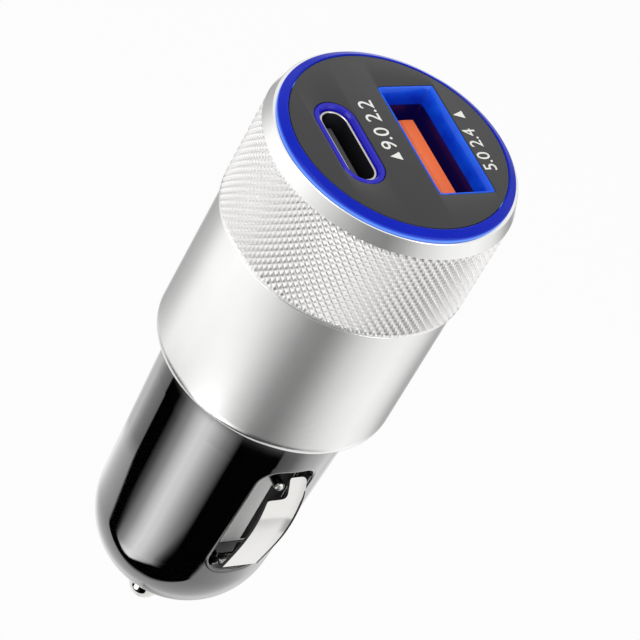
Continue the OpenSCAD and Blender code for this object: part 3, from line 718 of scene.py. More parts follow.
@dataclass
class Sleeve:
    """Turned aluminium sleeve with its knurled grip band and its diamond-cut collar."""

    head_r: float = 12.47
    bore_r: float = 11.42
    lip_r: float = 10.3
    lip_h: float = 1.2
    sole_round: float = 1.0
    band_r: float = 12.8
    band_low: float = 17.67
    band_high: float = 28.5
    rim_r: float = 12.3
    rim_z: float = 30.0
    groove: float = 0.12
    groove_w: float = 0.22
    teeth: int = 94
    tooth_steps: int = 6
    tooth_pitch: float = 0.9
    tooth_depth: float = 0.26
    # Shares of the tooth's depth: where the band's ends lie, and where its crests go flat
    end_share: float = 0.3
    crest_share: float = 0.8
    land: float = 0.12

    def smooth_part(self, angles: Array) -> Patch:
        """Everything but the knurl: barrel, groove, collar, rim, bore and lip.

        Args:
            angles: Angles of the columns.

        Returns:
            The surface from the knurl's upper end, over the rim, round to its lower end.
        """
        edge, end_r = 0.08, self.band_r - self.tooth_depth * self.end_share
        corners = [
            (end_r, self.band_high, 0), (self.band_r, self.band_high, 0.03),
            (self.rim_r, self.rim_z, edge), (self.bore_r, self.rim_z, edge),
            (self.bore_r, self.lip_h, edge), (self.lip_r, self.lip_h, edge),
            (self.lip_r, 0, edge), (self.head_r, 0, self.sole_round),
            (self.head_r, self.band_low - self.groove_w - 0.1, 0.05),
            (self.head_r - self.groove, self.band_low - self.groove_w, 0.04),
            (self.head_r - self.groove, self.band_low, 0.04),
            (self.band_r - 0.02, self.band_low + 0.02, 0.1),
            (end_r, self.band_low + self.land, 0),
        ]
        return revolve(rounded(corners, closed=False), angles)

    def knurl(self, angles: Array) -> Patch:
        """Grip band: pyramids between two families of V grooves.

        With u the number of teeth round and v the number of pitches up, the grooves lie where
        u + v and u - v are whole, and the height is the lesser of the distances to them.
        Each square of the grid is cut along the groove that crosses it.

        Args:
            angles: Angles of the columns.

        Returns:
            The band's surface.
        """
        low, high = self.band_low + self.land, self.band_high
        rows = round((high - low) / self.tooth_pitch * self.tooth_steps) + 1
        i, j = np.arange(len(angles))[None, :], np.arange(rows)[:, None]
        u, v = i / self.tooth_steps, j / self.tooth_steps
        to_first = 1 - np.abs(2 * ((u + v) % 1) - 1)
        to_second = 1 - np.abs(2 * ((u - v) % 1) - 1)
        height = np.minimum(np.minimum(to_first, to_second) / self.crest_share, 1)
        fade = np.minimum(np.minimum(j, rows - 1 - j) / 2, 1)
        sunk = self.end_share + (1 - self.end_share - height) * fade
        r = self.band_r - self.tooth_depth * sunk.clip(0, 1)
        z = low + (high - low) * j / (rows - 1)
        points = np.stack(np.broadcast_arrays(r * np.cos(angles), r * np.sin(angles), z), axis=-1)
        a, b, c, d = grid_faces(rows, len(angles), False, True).T
        column, row = a % len(angles), a // len(angles)
        rising = ((column - row) % self.tooth_steps == 0)[:, None]
        first = np.where(rising, np.stack([a, b, c], 1), np.stack([a, b, d], 1))
        second = np.where(rising, np.stack([a, c, d], 1), np.stack([b, c, d], 1))
        return Patch(points.reshape(-1, 3), np.concatenate([first, second]).tolist())

    def build(self) -> None:
        """Builds and dresses the sleeve."""
        angles = even_angles(self.teeth * self.tooth_steps)
        sleeve = build_piece("head_sleeve_turned", [self.smooth_part(angles), self.knurl(angles)],
                             sharp=math.radians(50))
        margin = 0.06
        # The band from just under the groove to just over it takes the darker finish: painted shade
        dress_by_height(sleeve, [(self.band_low - self.groove_w - margin, SATIN_ALUMINIUM),
                                 (self.band_low + margin, GROOVE_SHADE_ALUMINIUM),
                                 (self.band_high, KNURLED_ALUMINIUM),
                                 (self.rim_z + 1, CUT_ALUMINIUM)])
        install(sleeve, Body.HOUSING, SATIN_ALUMINIUM, "head_sleeve")


@dataclass
class Face:
    """Light ring, face plate and its printed marks."""

    face_z: float = 30.75
    plate_r: float = 11.0
    plate_t: float = 1.0
    ring_bore: float = 11.05
    ring_r: float = 12.0
    rim_z: float = 30.0
    ring_edge: float = 0.42
    ring_crown: float = 0.8
    skirt_r: float = 11.37
    skirt_bore: float = 10.27
    skirt_low: float = 27.6
    window_slip: float = 0.05
    print_t: float = 0.03

    def ring(self) -> None:
        """Builds the light ring: a crowned collar over the rim with a skirt in the bore."""
        seat = self.face_z - self.plate_t
        corners = [
            (self.skirt_bore, self.skirt_low, 0.1), (self.skirt_r, self.skirt_low, 0.1),
            (self.skirt_r, self.rim_z, 0.02), (self.ring_r, self.rim_z, 0.04),
            (self.ring_r - 0.03, self.rim_z + self.ring_edge - 0.04, 0.2),
            (self.ring_bore + 0.1, self.rim_z + self.ring_crown, 0.12),
            (self.ring_bore, self.rim_z + self.ring_crown - 0.1, 0.05),
            (self.ring_bore, seat, 0.02), (self.skirt_bore, seat, 0.05),
        ]
        ring = revolve(rounded(corners), even_angles(180), closed=True)
        add_piece("light_ring_moulded", [ring], LIT_BLUE_PC, "light_ring")

    def plate(self, ports: "Ports") -> None:
        """Builds the face plate with a window for each port.

        Args:
            ports: The ports whose bezels stand in the windows.
        """
        rim = circle(self.plate_r, even_angles(192))
        outlines = [rim, ports.usb_a.frame(self.window_slip), ports.usb_c.frame(self.window_slip)]
        seat = self.face_z - self.plate_t
        add_piece("face_plate_moulded", [plate(outlines, seat, self.face_z, 0.1)],
                  SATIN_GREY_PC, "face_plate")

    def mark(self, text: str, x: float, y: float, width: float) -> Patch:
        """Printed numbers that read from the far side of the plate.

        Args:
            text: The numbers.
            x: Middle of the line along X.
            y: Middle of the line along Y.
            width: Width of the line.

        Returns:
            The print, laid on the face.
        """
        curve = bpy.data.curves.new("mark", "FONT")
        curve.body, curve.size, curve.extrude = text, 1.0, 0.001
        letters = curve_patch(curve)
        low, high = letters.points.min(0), letters.points.max(0)
        scale = width / (high[0] - low[0])
        flat = (letters.points - (low + high) / 2) * [-scale, -scale, 0]
        flat[:, 2] = np.where(letters.points[:, 2] > 0, self.print_t, -self.print_t)
        return Patch(flat, letters.faces).moved(x, y, self.face_z)

    def arrow(self, x: float, y: float, width: float, height: float) -> Patch:
        """Printed triangle that points to a port, towards -Y.

        Args:
            x: Middle along X.
            y: Middle along Y.
            width: Width of its far side.
            height: Height to its point.

        Returns:
            The print, laid on the face.
        """
        outline = np.array([(x - width / 2, y + height / 2), (x, y - height / 2),
                            (x + width / 2, y + height / 2)])
        return plate([outline], self.face_z - self.print_t, self.face_z + self.print_t, 0.01)

    def prints(self) -> None:
        """Builds the printed marks: plain numbers and an arrow for each port."""
        add_piece("printed_marks", [
            self.mark("5.0 2.4", 1.55, 8.25, 5.3), self.arrow(-2.95, 8.2, 0.95, 1.2),
            self.mark("9.0 2.2", -2.05, -1.55, 6.2), self.arrow(1.95, -1.5, 1.0, 1.2),
        ], WHITE_INK)

    def build(self, ports: "Ports") -> None:
        """Builds the ring, the plate and the marks."""
        self.ring()
        self.plate(ports)
        self.prints()


# ---- Ports ----


@dataclass
class UsbAPort:
    """Blue funnel and orange tongue of the USB-A port."""

    y: float = 4.1
    width: float = 12.5
    height: float = 5.12
    sheet: float = 0.3
    flare: float = 0.47
    wall: float = 0.13
    corner: float = 0.2
    face_z: float = 30.75
    mouth_z: float = 28.85
    seat_z: float = 29.75
    skirt: float = 2.8
    flange: float = 0.35
    flange_t: float = 1.0
    ease: float = 0.04
    board_top: float = 15.3
    base_h: float = 2.5
    tongue_w: float = 11.1
    tongue_t: float = 1.85
    tongue_end: float = 27.75

    def frame(self, grow: float) -> Array:
        """Returns the outline of the bezel at the face, grown by a margin."""
        margin = 2 * (self.flare + self.wall + grow)
        ring = rect_ring(self.width + margin, self.height + margin, self.corner + grow, 24, 16)
        return ring + [0, self.y]

    def bezel(self) -> None:
        """Builds the bezel: a frame and funnel with a flange behind the plate and a skirt."""
        out, edge = self.flare + self.wall, self.corner
        inside = self.sheet + 0.05
        low = self.mouth_z - self.skirt
        wide, under, top = out + self.flange, self.seat_z - self.flange_t, self.face_z - self.ease
        levels = [
            (out, edge, low), (out, edge, under), (wide, 1.6, under), (wide, 1.6, self.seat_z),
            (out, edge, self.seat_z), (out, edge, top), (out - self.ease, edge, self.face_z),
            (self.flare + self.ease, edge, self.face_z), (self.flare, edge, top),
            (0, 0.35, self.mouth_z + 0.06),
            (0.02, 0.36, self.mouth_z), (inside, 0.7, self.mouth_z), (inside, 0.7, low),
        ]
        bezel = stack(self.width, self.height, levels, closed=True).moved(y=self.y)
        add_piece("usb_a_bezel_moulded", [bezel], LIT_BLUE_BEZEL, "usb_a_bezel")

    def tongue(self) -> None:
        """Builds the orange moulding: its base and its tongue with an eased end."""
        half = self.tongue_w / 2
        base = block((-self.width / 2 + 0.05, self.y - self.height / 2 + 0.05, self.board_top),
                     (self.width / 2 - 0.05, self.y + self.height / 2 - 0.05,
                      self.board_top + self.base_h), 0.15)
        blade = block((-half, self.y, self.board_top),
                      (half, self.y + self.tongue_t, self.tongue_end), 0.25)
        add_piece("usb_a_tongue_moulded", [base, blade], ORANGE_PBT, "usb_a_tongue")


@dataclass
class UsbCPort:
    """Blue surround, drawn shell and grey tongue of the USB-C port."""

    y: float = -5.6
    width: float = 8.34
    height: float = 2.56
    sheet: float = 0.3
    surround: float = 0.63
    surround_h: float = 2.0
    flange: float = 0.35
    flange_t: float = 1.0
    face_z: float = 30.75
    seat_z: float = 29.75
    rim_z: float = 30.35
    board_top: float = 15.3
    base_h: float = 3.7
    blade_w: float = 6.69
    blade_t: float = 0.7
    blade_end: float = 29.2
    steps: tuple[int, int] = (28, 12)

    def frame(self, grow: float) -> Array:
        """Returns the outline of the surround at the face, grown by a margin."""
        margin = 2 * (self.sheet + self.surround + grow)
        width, height = self.width + margin, self.height + margin
        return rect_ring(width, height, height / 2, *self.steps) + [0, self.y]

    def tube(self, levels: Sequence[Pair]) -> Patch:
        """Closed stadium-shaped tube through levels of margin and height."""
        full = [(grow, self.height, z) for grow, z in levels]
        return stack(self.width, self.height, full, closed=True, steps=self.steps).moved(y=self.y)

    def bezel(self) -> None:
        """Builds the surround with its flange behind the plate."""
        out, inside = self.sheet + self.surround, self.sheet + 0.05
        low, under = self.seat_z - self.surround_h, self.seat_z - self.flange_t
        wide = out + self.flange
        surround = self.tube([
            (out, low), (out, under), (wide, under), (wide, self.seat_z),
            (out, self.seat_z), (out, self.face_z - 0.08), (out - 0.08, self.face_z),
            (inside + 0.16, self.face_z), (inside, self.face_z - 0.2), (inside, low),
        ])
        add_piece("usb_c_bezel_moulded", [surround], LIT_BLUE_HALO, "usb_c_bezel")

    def shell(self) -> None:
        """Builds the drawn steel tube with its rolled rim."""
        high, edge = self.rim_z, 0.08
        shell = build_piece("usb_c_shell_drawn", [self.tube([
            (self.sheet, self.board_top), (self.sheet, high - edge),
            (self.sheet - 0.03, high - 0.03), (self.sheet - edge, high),
            (edge, high), (0.03, high - 0.03), (0, high - edge),
            (0, self.board_top),
        ])])
        # Below the rim the shell takes the dark steel: painted shade inside the port
        dress_by_height(shell, [(self.rim_z - 0.12, BORE_SHADE_STEEL), (self.rim_z + 1, PLATED_STEEL)])
        install(shell, Body.HOUSING, PLATED_STEEL, "usb_c_shell")

    def tongue(self) -> None:
        """Builds the base and the mid-plate."""
        inner = (self.width - 0.1, self.height - 0.1)
        top = self.board_top + self.base_h
        base = stack(*inner, [(0, inner[1], self.board_top), (0, inner[1], top)], steps=self.steps)
        blade = block((-self.blade_w / 2, self.y - self.blade_t / 2, top),
                      (self.blade_w / 2, self.y + self.blade_t / 2, self.blade_end), 0.12)
        add_piece("usb_c_tongue_moulded", [base.moved(y=self.y), blade], GREY_LCP,
                  "usb_c_tongue")


@dataclass
class Ports:
    """Both ports."""

    usb_a: UsbAPort = field(default_factory=UsbAPort)
    usb_c: UsbCPort = field(default_factory=UsbCPort)

    def build(self) -> None:
        """Builds the replaced pieces of both ports."""
        self.usb_a.bezel()
        self.usb_a.tongue()
        self.usb_c.bezel()
        self.usb_c.shell()
        self.usb_c.tongue()


# ---- Plug ----


@dataclass
class Skin:
    """Surface of revolution with a sunk window on each side.

    Round each window the surface is a ring of grid lines that go over from the edge of a
    rectangle, in angle and height, to the window's outline.
    """

    radius_at: Callable[[Array], Array]
    low: float
    high: float
    width: float
    window_low: float
    window_high: float
    corner: float
    floor: float
    rim: float
    floor_round: float
    half_angle: float = math.radians(60)
    across: int = 48
    along: int = 56
    between: int = 24

    def angles(self) -> Array:
        """Returns the angles of the columns that the skin shares with what it joins."""
        front = np.linspace(-self.half_angle, self.half_angle, self.across + 1)[:-1]
        side = np.linspace(self.half_angle, math.pi - self.half_angle, self.between + 1)[:-1]
        return np.concatenate([front, side, front + math.pi, side + math.pi])

    def outline(self, grow: float) -> Array:
        """Returns the window's outline in Y and Z, grown by a margin."""
        height = self.window_high - self.window_low
        ring = rect_ring(self.width + 2 * grow, height + 2 * grow, self.corner + grow,
                         self.across, self.along)
        return ring + [0, (self.window_low + self.window_high) / 2]

    def lift(self, flat: Array) -> Array:
        """Lays points given in Y and Z on the surface: x is the root of r squared less y squared.

        Args:
            flat: Points in Y and Z.

        Returns:
            Points in space.
        """
        y, z = flat[..., 0], flat[..., 1]
        return np.stack([np.sqrt(self.radius_at(z) ** 2 - y**2), y, z], axis=-1)

    def wrapped(self, angle: Array, z: Array) -> Array:
        """Returns the surface's points at angles and heights."""
        r = self.radius_at(z)
        return np.stack([r * np.cos(angle), r * np.sin(angle), z + 0 * angle], axis=-1)

    def window(self) -> Patch:
        """Surface round a window, its rounded rim, its wall and its floor.

        Returns:
            The surface of the window on the +X side.
        """
        rim = self.outline(self.rim)
        rim_angle = np.arcsin(rim[:, 0] / self.radius_at(rim[:, 1]))
        edge = rect_ring(2 * self.half_angle, self.high - self.low, 0, self.across, self.along)
        edge = edge + [0, (self.low + self.high) / 2]
        share = (1 - (1 - np.linspace(0, 1, 17)) ** 1.5)[:, None, None]
        spread = (1 - share) * edge + share * np.stack([rim_angle, rim[:, 1]], axis=-1)
        around = self.wrapped(spread[..., 0], spread[..., 1])
        start, corner = self.lift(rim), self.lift(self.outline(0))
        s = np.linspace(0, 1, 8)[1:, None, None]
        fillet = quadratic(start, corner, corner - [self.rim, 0, 0], s)
        foot = corner * [0, 1, 1] + [self.floor, 0, 0]
        inset = self.outline(-self.floor_round)
        inset = np.column_stack([np.full(len(inset), self.floor), inset])
        wall = np.stack([foot + [self.floor_round, 0, 0], inset])
        s = np.linspace(0, 1, 5)[1:-1, None, None]
        bend = quadratic(wall[0], foot, wall[1], s)
        middle = inset.mean(axis=0)
        s = np.linspace(0, 1, 7)[1:, None, None]
        floor = (1 - s) * inset + s * middle
        rings = np.concatenate([around, fillet, wall[:1], bend, wall[1:], floor])
        return sheet(rings, wrap_columns=True)

    def sides(self) -> Patch:
        """Returns the surface between the windows on the +Y side."""
        z = np.linspace(self.low, self.high, self.along + 1)[:, None]
        a = np.linspace(self.half_angle, math.pi - self.half_angle, self.between + 1)
        return sheet(self.wrapped(a, z))

    def patches(self) -> list[Patch]:
        """Returns all of the skin."""
        window, side = self.window(), self.sides()
        return [window, window.turned(180), side, side.turned(180)]


@dataclass
class PlugBody:
    """Gloss black body: collar, drafted side, round nose, windows, boss and cup."""

    plug_r: float = 10.2
    collar_len: float = 4.6
    neck_r: float = 9.9
    nose_r: float = 9.5
    nose_z: float = -23.2
    cavity_r: float = 8.0
    cavity_high: float = -3.2
    shell_r: float = 11.37
    cup_r: float = 10.27
    cup_low: float = 1.2
    cup_top: float = 14.1
    tip_bore: float = 1.75
    boss_bore: float = 3.0
    boss_r: float = 4.1
    boss_top: float = -24.1
    seat_z: float = -31.1
    window_w: float = 6.2
    window_low: float = -21.4
    window_high: float = -5.4
    window_corner: float = 2.0
    floor: float = 7.3
    floor_wall: float = 1.1
    rim: float = 0.4
    curl_x: float = 8.7
    curl_z: float = -20.2
    curl_r: float = 0.5
    saddle_top: float = 8.93
    saddle_high: float = -19.2
    saddle_half: float = 2.3
    post_r: float = 0.55
    post_y: float = -0.69
    post_z: float = -7.5
    post_top: float = 10.3
    # Height of the nickel-coloured cap on each black post's round end: a painted highlight on its
    # crest
    highlight_cap_h: float = 0.25

    def draft(self) -> Triple:
        """Angle, radius and height at which the drafted side meets the round nose."""
        run = -self.nose_z - self.collar_len
        span = math.hypot(self.plug_r, run)
        angle = math.atan2(run, self.plug_r) - math.acos(self.nose_r / span)
        return angle, self.nose_r * math.cos(angle), self.nose_z + self.nose_r * math.sin(angle)

    def outer(self) -> Skin:
        """Returns the drafted side with the two windows."""
        _, low_r, low = self.draft()
        slope = (self.plug_r - low_r) / (-self.collar_len - low)
        return Skin(lambda z: low_r + (z - low) * slope, low, -self.collar_len, self.window_w,
                    self.window_low, self.window_high, self.window_corner, self.floor,
                    rim=self.rim, floor_round=0.2)

    def inner(self) -> Skin:
        """Returns the cavity's wall with the backs of the two windows."""
        grow = self.floor_wall
        return Skin(lambda z: self.cavity_r + 0 * z, self.nose_z, self.cavity_high,
                    self.window_w + 2 * grow, self.window_low - grow, self.window_high + grow,
                    self.window_corner + grow, self.floor - grow, rim=0.1, floor_round=0.1)

    def nose(self) -> Array:
        """Half outline from the cavity round the boss and the bore to the outside of the nose.

        Returns:
            Radius and height of each point.
        """
        angle, _, _ = self.draft()
        inside = np.linspace(0, -math.acos(self.boss_r / self.cavity_r), 13)
        cavity = circle(self.cavity_r, inside) + [0, self.nose_z]
        bore_end = self.nose_z - math.sqrt(self.nose_r**2 - self.tip_bore**2)
        boss = rounded([
            (*cavity[-1], 0), (self.boss_r, self.boss_top, 0.2),
            (self.boss_bore, self.boss_top, 0.2),
            (self.boss_bore, self.seat_z, 0.1), (self.tip_bore, self.seat_z, 0.1),
            (self.tip_bore, bore_end + 0.15, 0),
        ], closed=False, steps=3)
        outside = np.linspace(-math.acos((self.tip_bore + 0.12) / self.nose_r), angle, 40)
        return np.concatenate([cavity, boss, circle(self.nose_r, outside) + [0, self.nose_z]])

    def neck(self) -> Array:
        """Half outline from the drafted side over the collar and the cup back into the cavity.

        Returns:
            Radius and height of each point.
        """
        return rounded([
            (self.plug_r, -self.collar_len, 0), (self.plug_r, 0, 0.15), (self.neck_r, 0, 0.02),
            (self.neck_r, self.cup_low, 0.02), (self.shell_r, self.cup_low, 0.2),
            (self.shell_r, self.cup_top, 0.15), (self.cup_r, self.cup_top, 0.15),
            (self.cup_r, self.cup_low + 1, 0.3), (self.cavity_r, self.cup_low + 1, 0.3),
            (self.cavity_r, self.cavity_high, 0),
        ], closed=False)

    def fittings(self) -> list[Patch]:
        """Saddle for the spring's rolled foot and the round-headed post, on the +X side.

        Returns:
            The closed shells of the two.
        """
        base = self.floor - 0.6
        low = self.window_low - 0.3
        hollow_r = self.curl_r + 0.05
        lip = math.acos((self.saddle_top - self.curl_x) / hollow_r)
        swing = np.linspace(lip, TURN - lip, 19)
        section = np.concatenate([
            [(base, self.saddle_high), (self.saddle_top - 0.1, self.saddle_high),
             (self.saddle_top, self.saddle_high - 0.1)],
            circle(hollow_r, swing) + [self.curl_x, self.curl_z],
            [(self.saddle_top, low), (base, low)],
        ])
        middle = np.array([base + 0.3, (self.saddle_high + self.curl_z) / 2])
        shares = np.array([0.0, 0.97, 1.0, 1.0, 0.97, 0.0])[:, None, None]
        rows = self.saddle_half - np.array([0, 0, 0.06, 0.06, 0, 0])
        rows = (rows * [-1, -1, -1, 1, 1, 1])[:, None, None]
        flat = (1 - shares) * middle + shares * section
        y = np.broadcast_to(rows, (*flat.shape[:2], 1))
        saddle = sheet(np.concatenate([flat, y], axis=-1)[..., [0, 2, 1]], wrap_columns=True)
        centre = self.post_top - self.post_r
        head = circle(self.post_r, np.linspace(0, math.pi / 2, 10)) + [0, centre]
        stem = rounded([(0, base, 0), (self.post_r, base, 0), (self.post_r, centre, 0)],
                       closed=False)
        post = revolve(np.concatenate([stem, head]), even_angles(32)).sideways()
        return [saddle, post.moved(y=self.post_y, z=self.post_z)]

    def build(self) -> None:
        """Builds and dresses the body."""
        outer, inner = self.outer(), self.inner()
        angles = outer.angles()
        fittings = self.fittings()
        shells = [*outer.patches(), *inner.patches(), revolve(self.nose(), angles),
                  revolve(self.neck(), angles)]
        turned = [fitting.turned(180) for fitting in fittings]
        body = build_piece("plug_body_moulded", [*shells, *fittings, *turned])
        x, _, z = face_rows(body, "center") / MM
        # Painted highlight: the crest of each black post takes bright nickel
        highlight_capped = (np.abs(x) > self.post_top - self.highlight_cap_h) & (np.abs(z - self.post_z) < self.post_r)
        dress(body, GLOSS_BLACK_ABS, TURNED_NICKEL, index=highlight_capped)
        install(body, Body.HOUSING, GLOSS_BLACK_ABS, "plug_body")


# ---- Contacts ----


@dataclass
class GroundSpring:
    """Bowed leaf with a rolled foot and a notched upper end."""

    width: float = 4.2
    thickness: float = 0.35
    foot_x: float = 8.7
    foot_z: float = -20.2
    roll_r: float = 0.325
    heel_x: float = 9.95
    top_x: float = 9.95
    top_z: float = -6.15
    crown_x: float = 11.2
    crown_share: float = 0.58
    fullness: float = 0.8
    notch_y: float = 0.15
    # Measured along the leaf
    notch_len: float = 2.47
    notch_run: float = 1.6
    prong_lean: float = 8.0
    # Rise of the plain edge above the flat of the leaf, and where it starts
    dish: float = 0.15
    dish_from: float = 0.9
    # Width of the rounding along the plain edge that takes the dark edge finish: painted shade
    shaded_edge_width: float = 0.2

    def bow(self, u: Array) -> Array:
        """Centre line of the bow at a share of its rise, as the skewed half sine of the CAD part.

        Args:
            u: Share of the rise from heel to top.

        Returns:
            X and Z of each point.
        """
        def chord(share: Array | float) -> Array | float:
            return self.heel_x * (1 - share) + self.top_x * share

        skew = np.sin(math.pi * np.power(u, math.log(0.5) / math.log(self.crown_share)))
        rise = self.crown_x - self.thickness / 2 - chord(self.crown_share)
        x = chord(u) + rise * np.power(np.clip(skew, 0, 1), self.fullness)
        return np.stack([x, self.foot_z * (1 - u) + self.top_z * u], axis=-1)

    def centre_line(self) -> Array:
        """Whole centre line: the roll, the strip to the heel, the heel's bend and the bow.

        Returns:
            X and Z of points at even steps.
        """
        entry = 0.25
        swing = np.linspace(math.radians(-300), 0, 40)
        r = entry + (self.roll_r - entry) * np.minimum(np.abs(swing) / (math.pi / 2), 1)
        roll = np.column_stack([self.foot_x + r * np.sin(swing), self.foot_z + r * np.cos(swing)])
        bend_at = 0.045
        start = self.bow(np.array([bend_at]))[0]
        corner = np.array([start[0] - 0.02, self.foot_z + entry])
        bend = quadratic(corner - [0.45, 0], corner, start, np.linspace(0, 1, 12)[:, None])
        bow = self.bow(np.linspace(bend_at, 1, 120))[1:]
        return spaced(np.concatenate([roll, bend, bow]), 260)

    def edges(self, length: float) -> tuple[Array, Array]:
        """The leaf's two edges, as distance along the centre line and Y.

        Args:
            length: Length of the centre line.

        Returns:
            Points on the notched edge and on the plain edge, in pairs.
        """
        half = self.width / 2
        notch = length - self.notch_len
        first = notch - self.notch_run
        lean = self.notch_len * math.tan(math.radians(self.prong_lean))
        inner, outer = self.notch_y - lean, half - lean
        shaped = rounded([(first, -half, 0), (notch, -half, 0.3), (notch, self.notch_y, 0.7),
                          (length, inner, 0.3), (length, outer - 0.8, 0)], closed=False, steps=8)
        plain = rounded([(first, half, 0), (notch, half, 0.5), (length, outer, 0.6),
                         (length, outer - 0.8, 0)], closed=False, steps=10)
        straight = np.linspace(0, first, 90)[:-1]
        return tuple(np.concatenate([np.column_stack([straight, np.full(89, y)]), spaced(path, 60)])
                     for y, path in ((-half, shaped), (half, plain)))

    def leaf(self) -> Patch:
        """Surface of the leaf: a rounded section carried along the centre line.

        Returns:
            The closed surface on the +X side.
        """
        line = self.centre_line()
        length = distances(line)
        tangent = np.gradient(line, axis=0)
        tangent /= np.linalg.norm(tangent, axis=1, keepdims=True)
        low, high = self.edges(length[-1])
        ease, half_t = 0.09, self.thickness / 2
        inside = np.linspace(0.0, 1.0, 17)[1:-1]
        across = np.concatenate([[0.0, 0.008], inside, [0.992, 1.0]])
        share = np.concatenate([across, across[::-1]])[None, :, None]
        side = np.concatenate([[half_t - ease], np.full(17, half_t), [half_t - ease]])
        lift = np.concatenate([side, -side])
        flat = (1 - share) * low[:, None] + share * high[:, None]
        along, y = flat[..., 0], flat[..., 1]
        bowing = np.interp(along, [4.0, 9.0], [0, 1])
        raised = np.clip((y - self.dish_from) / (self.width / 2 - self.dish_from), 0, 1) ** 2
        lift = lift[None, :] + self.dish * bowing * raised
        place = [np.interp(along, length, line[:, k]) for k in (0, 1)]
        way = [np.interp(along, length, tangent[:, k]) for k in (0, 1)]
        rings = np.stack([place[0] + way[1] * lift, y, place[1] - way[0] * lift], axis=-1)
        return closed_tube(rings)

    def build(self) -> None:
        """Builds the leaf on each side."""
        leaf = self.leaf()
        for name, body, turn in (("right", Body.SPRING_RIGHT, 0), ("left", Body.SPRING_LEFT, 180)):
            spring = build_piece(f"ground_spring_{name}_leaf", [leaf.turned(turn)])
            dress(spring, BRIGHT_NICKEL, SHADED_STRIP_EDGE, index=self.edge_faces(spring))
            install(spring, body, BRIGHT_NICKEL, f"ground_spring_{name}")

    def edge_faces(self, spring: Piece) -> Array:
        """Says which faces take the dark edge finish, with its painted shade.

        They look along Y, or along Z where the leaf is notched. On the plain side the rounding next
        to the edge takes the same dark finish, as painted shade along that edge.

        Args:
            spring: The leaf's piece.

        Returns:
            Whether each face is one.
        """
        x, y, z = face_rows(spring, "center")
        outwards, sideways, _ = np.abs(face_rows(spring, "normal"))
        # Painted shade: the rounding along the plain edge is darkened
        shaded_rounding = y * np.sign(x) > (self.width / 2 - self.shaded_edge_width) * MM
        notched = (z > (self.foot_z + 3) * MM) & (outwards < 0.6)
        return (sideways > 0.6) | notched | shaded_rounding


@dataclass
class GroundTerminal:
    """Plated strip on a window's floor, with a tab to the main board."""

    floor: float = 7.3
    thickness: float = 0.3
    half_width: float = 2.95
    low: float = -21.25
    high: float = -5.55
    corner: float = 1.85
    saddle_half: float = 2.35
    saddle_high: float = -19.15
    post_y: float = -0.69
    post_z: float = -7.5
    hole_r: float = 0.6
    tab_w: float = 2.0
    tab_z: float = -14.0
    tab_from: float = 5.9
    # Thin near-black sheet under the leaf and round the post: painted shade
    shade_sheet_t: float = 0.03
    shade_sheet_y: float = 0.8
    shade_sheet_low: float = -18.9
    shade_sheet_turn: float = -8.6

    def shade_sheet(self) -> Array:
        """Returns the outline of the painted shade in Y and Z."""
        right, high = self.half_width - 0.15, self.high - 0.15
        return rounded([
            (self.shade_sheet_y, self.shade_sheet_low, 0.1), (right, self.shade_sheet_low, 0.1),
            (right, high, self.corner), (-right, high, self.corner),
            (-right, self.shade_sheet_turn + 0.6, 0.3),
            (self.shade_sheet_y - 0.3, self.shade_sheet_turn, 0.5), (self.shade_sheet_y, self.shade_sheet_turn - 1.5, 0.5),
        ])

    def outline(self) -> Array:
        """Returns the strip's outline in Y and Z: a rounded rectangle notched for the saddle."""
        middle, half = (self.low + self.high) / 2, self.saddle_half
        ring = rect_ring(2 * self.half_width, self.high - self.low, self.corner, 16, 40)
        ring = ring + [0, middle]
        cut = np.flatnonzero((np.abs(ring[:, 0]) < half) & (ring[:, 1] < self.saddle_high))
        across = half - self.half_width + self.corner
        end = self.low + self.corner - math.sqrt(self.corner**2 - across**2)
        notch = np.array([(-half, end), (-half, self.saddle_high), (half, self.saddle_high),
                          (half, end)])
        return np.concatenate([ring[: cut[0]], notch, ring[cut[-1] + 1 :]])

    def build(self) -> None:
        """Builds the strip on each side."""
        top = self.floor + self.thickness
        hole = circle(self.hole_r, even_angles(32)) + [self.post_y, self.post_z]
        strip = plate([self.outline(), hole], self.floor, top, 0.04).sideways()
        tab = block((self.tab_from, -self.tab_w / 2, self.tab_z),
                    (self.floor + 0.1, self.tab_w / 2, self.tab_z + self.thickness), 0.04)
        shade_sheet = plate([self.shade_sheet(), hole], top - 0.02, top + self.shade_sheet_t, 0.005).sideways()
        for name, turn in (("right", 0), ("left", 180)):
            parts = [patch.turned(turn) for patch in (strip, tab, shade_sheet)]
            terminal = build_piece(f"ground_terminal_{name}_strip", parts)
            # Faces above the strip's top are the painted shade sheet
            shade_painted = np.abs(face_rows(terminal, "center")[0]) > (top + 0.001) * MM
            dress(terminal, SATIN_NICKEL, SHADE_BLACK, index=shade_painted)
            install(terminal, Body.HOUSING, SATIN_NICKEL, f"ground_terminal_{name}")


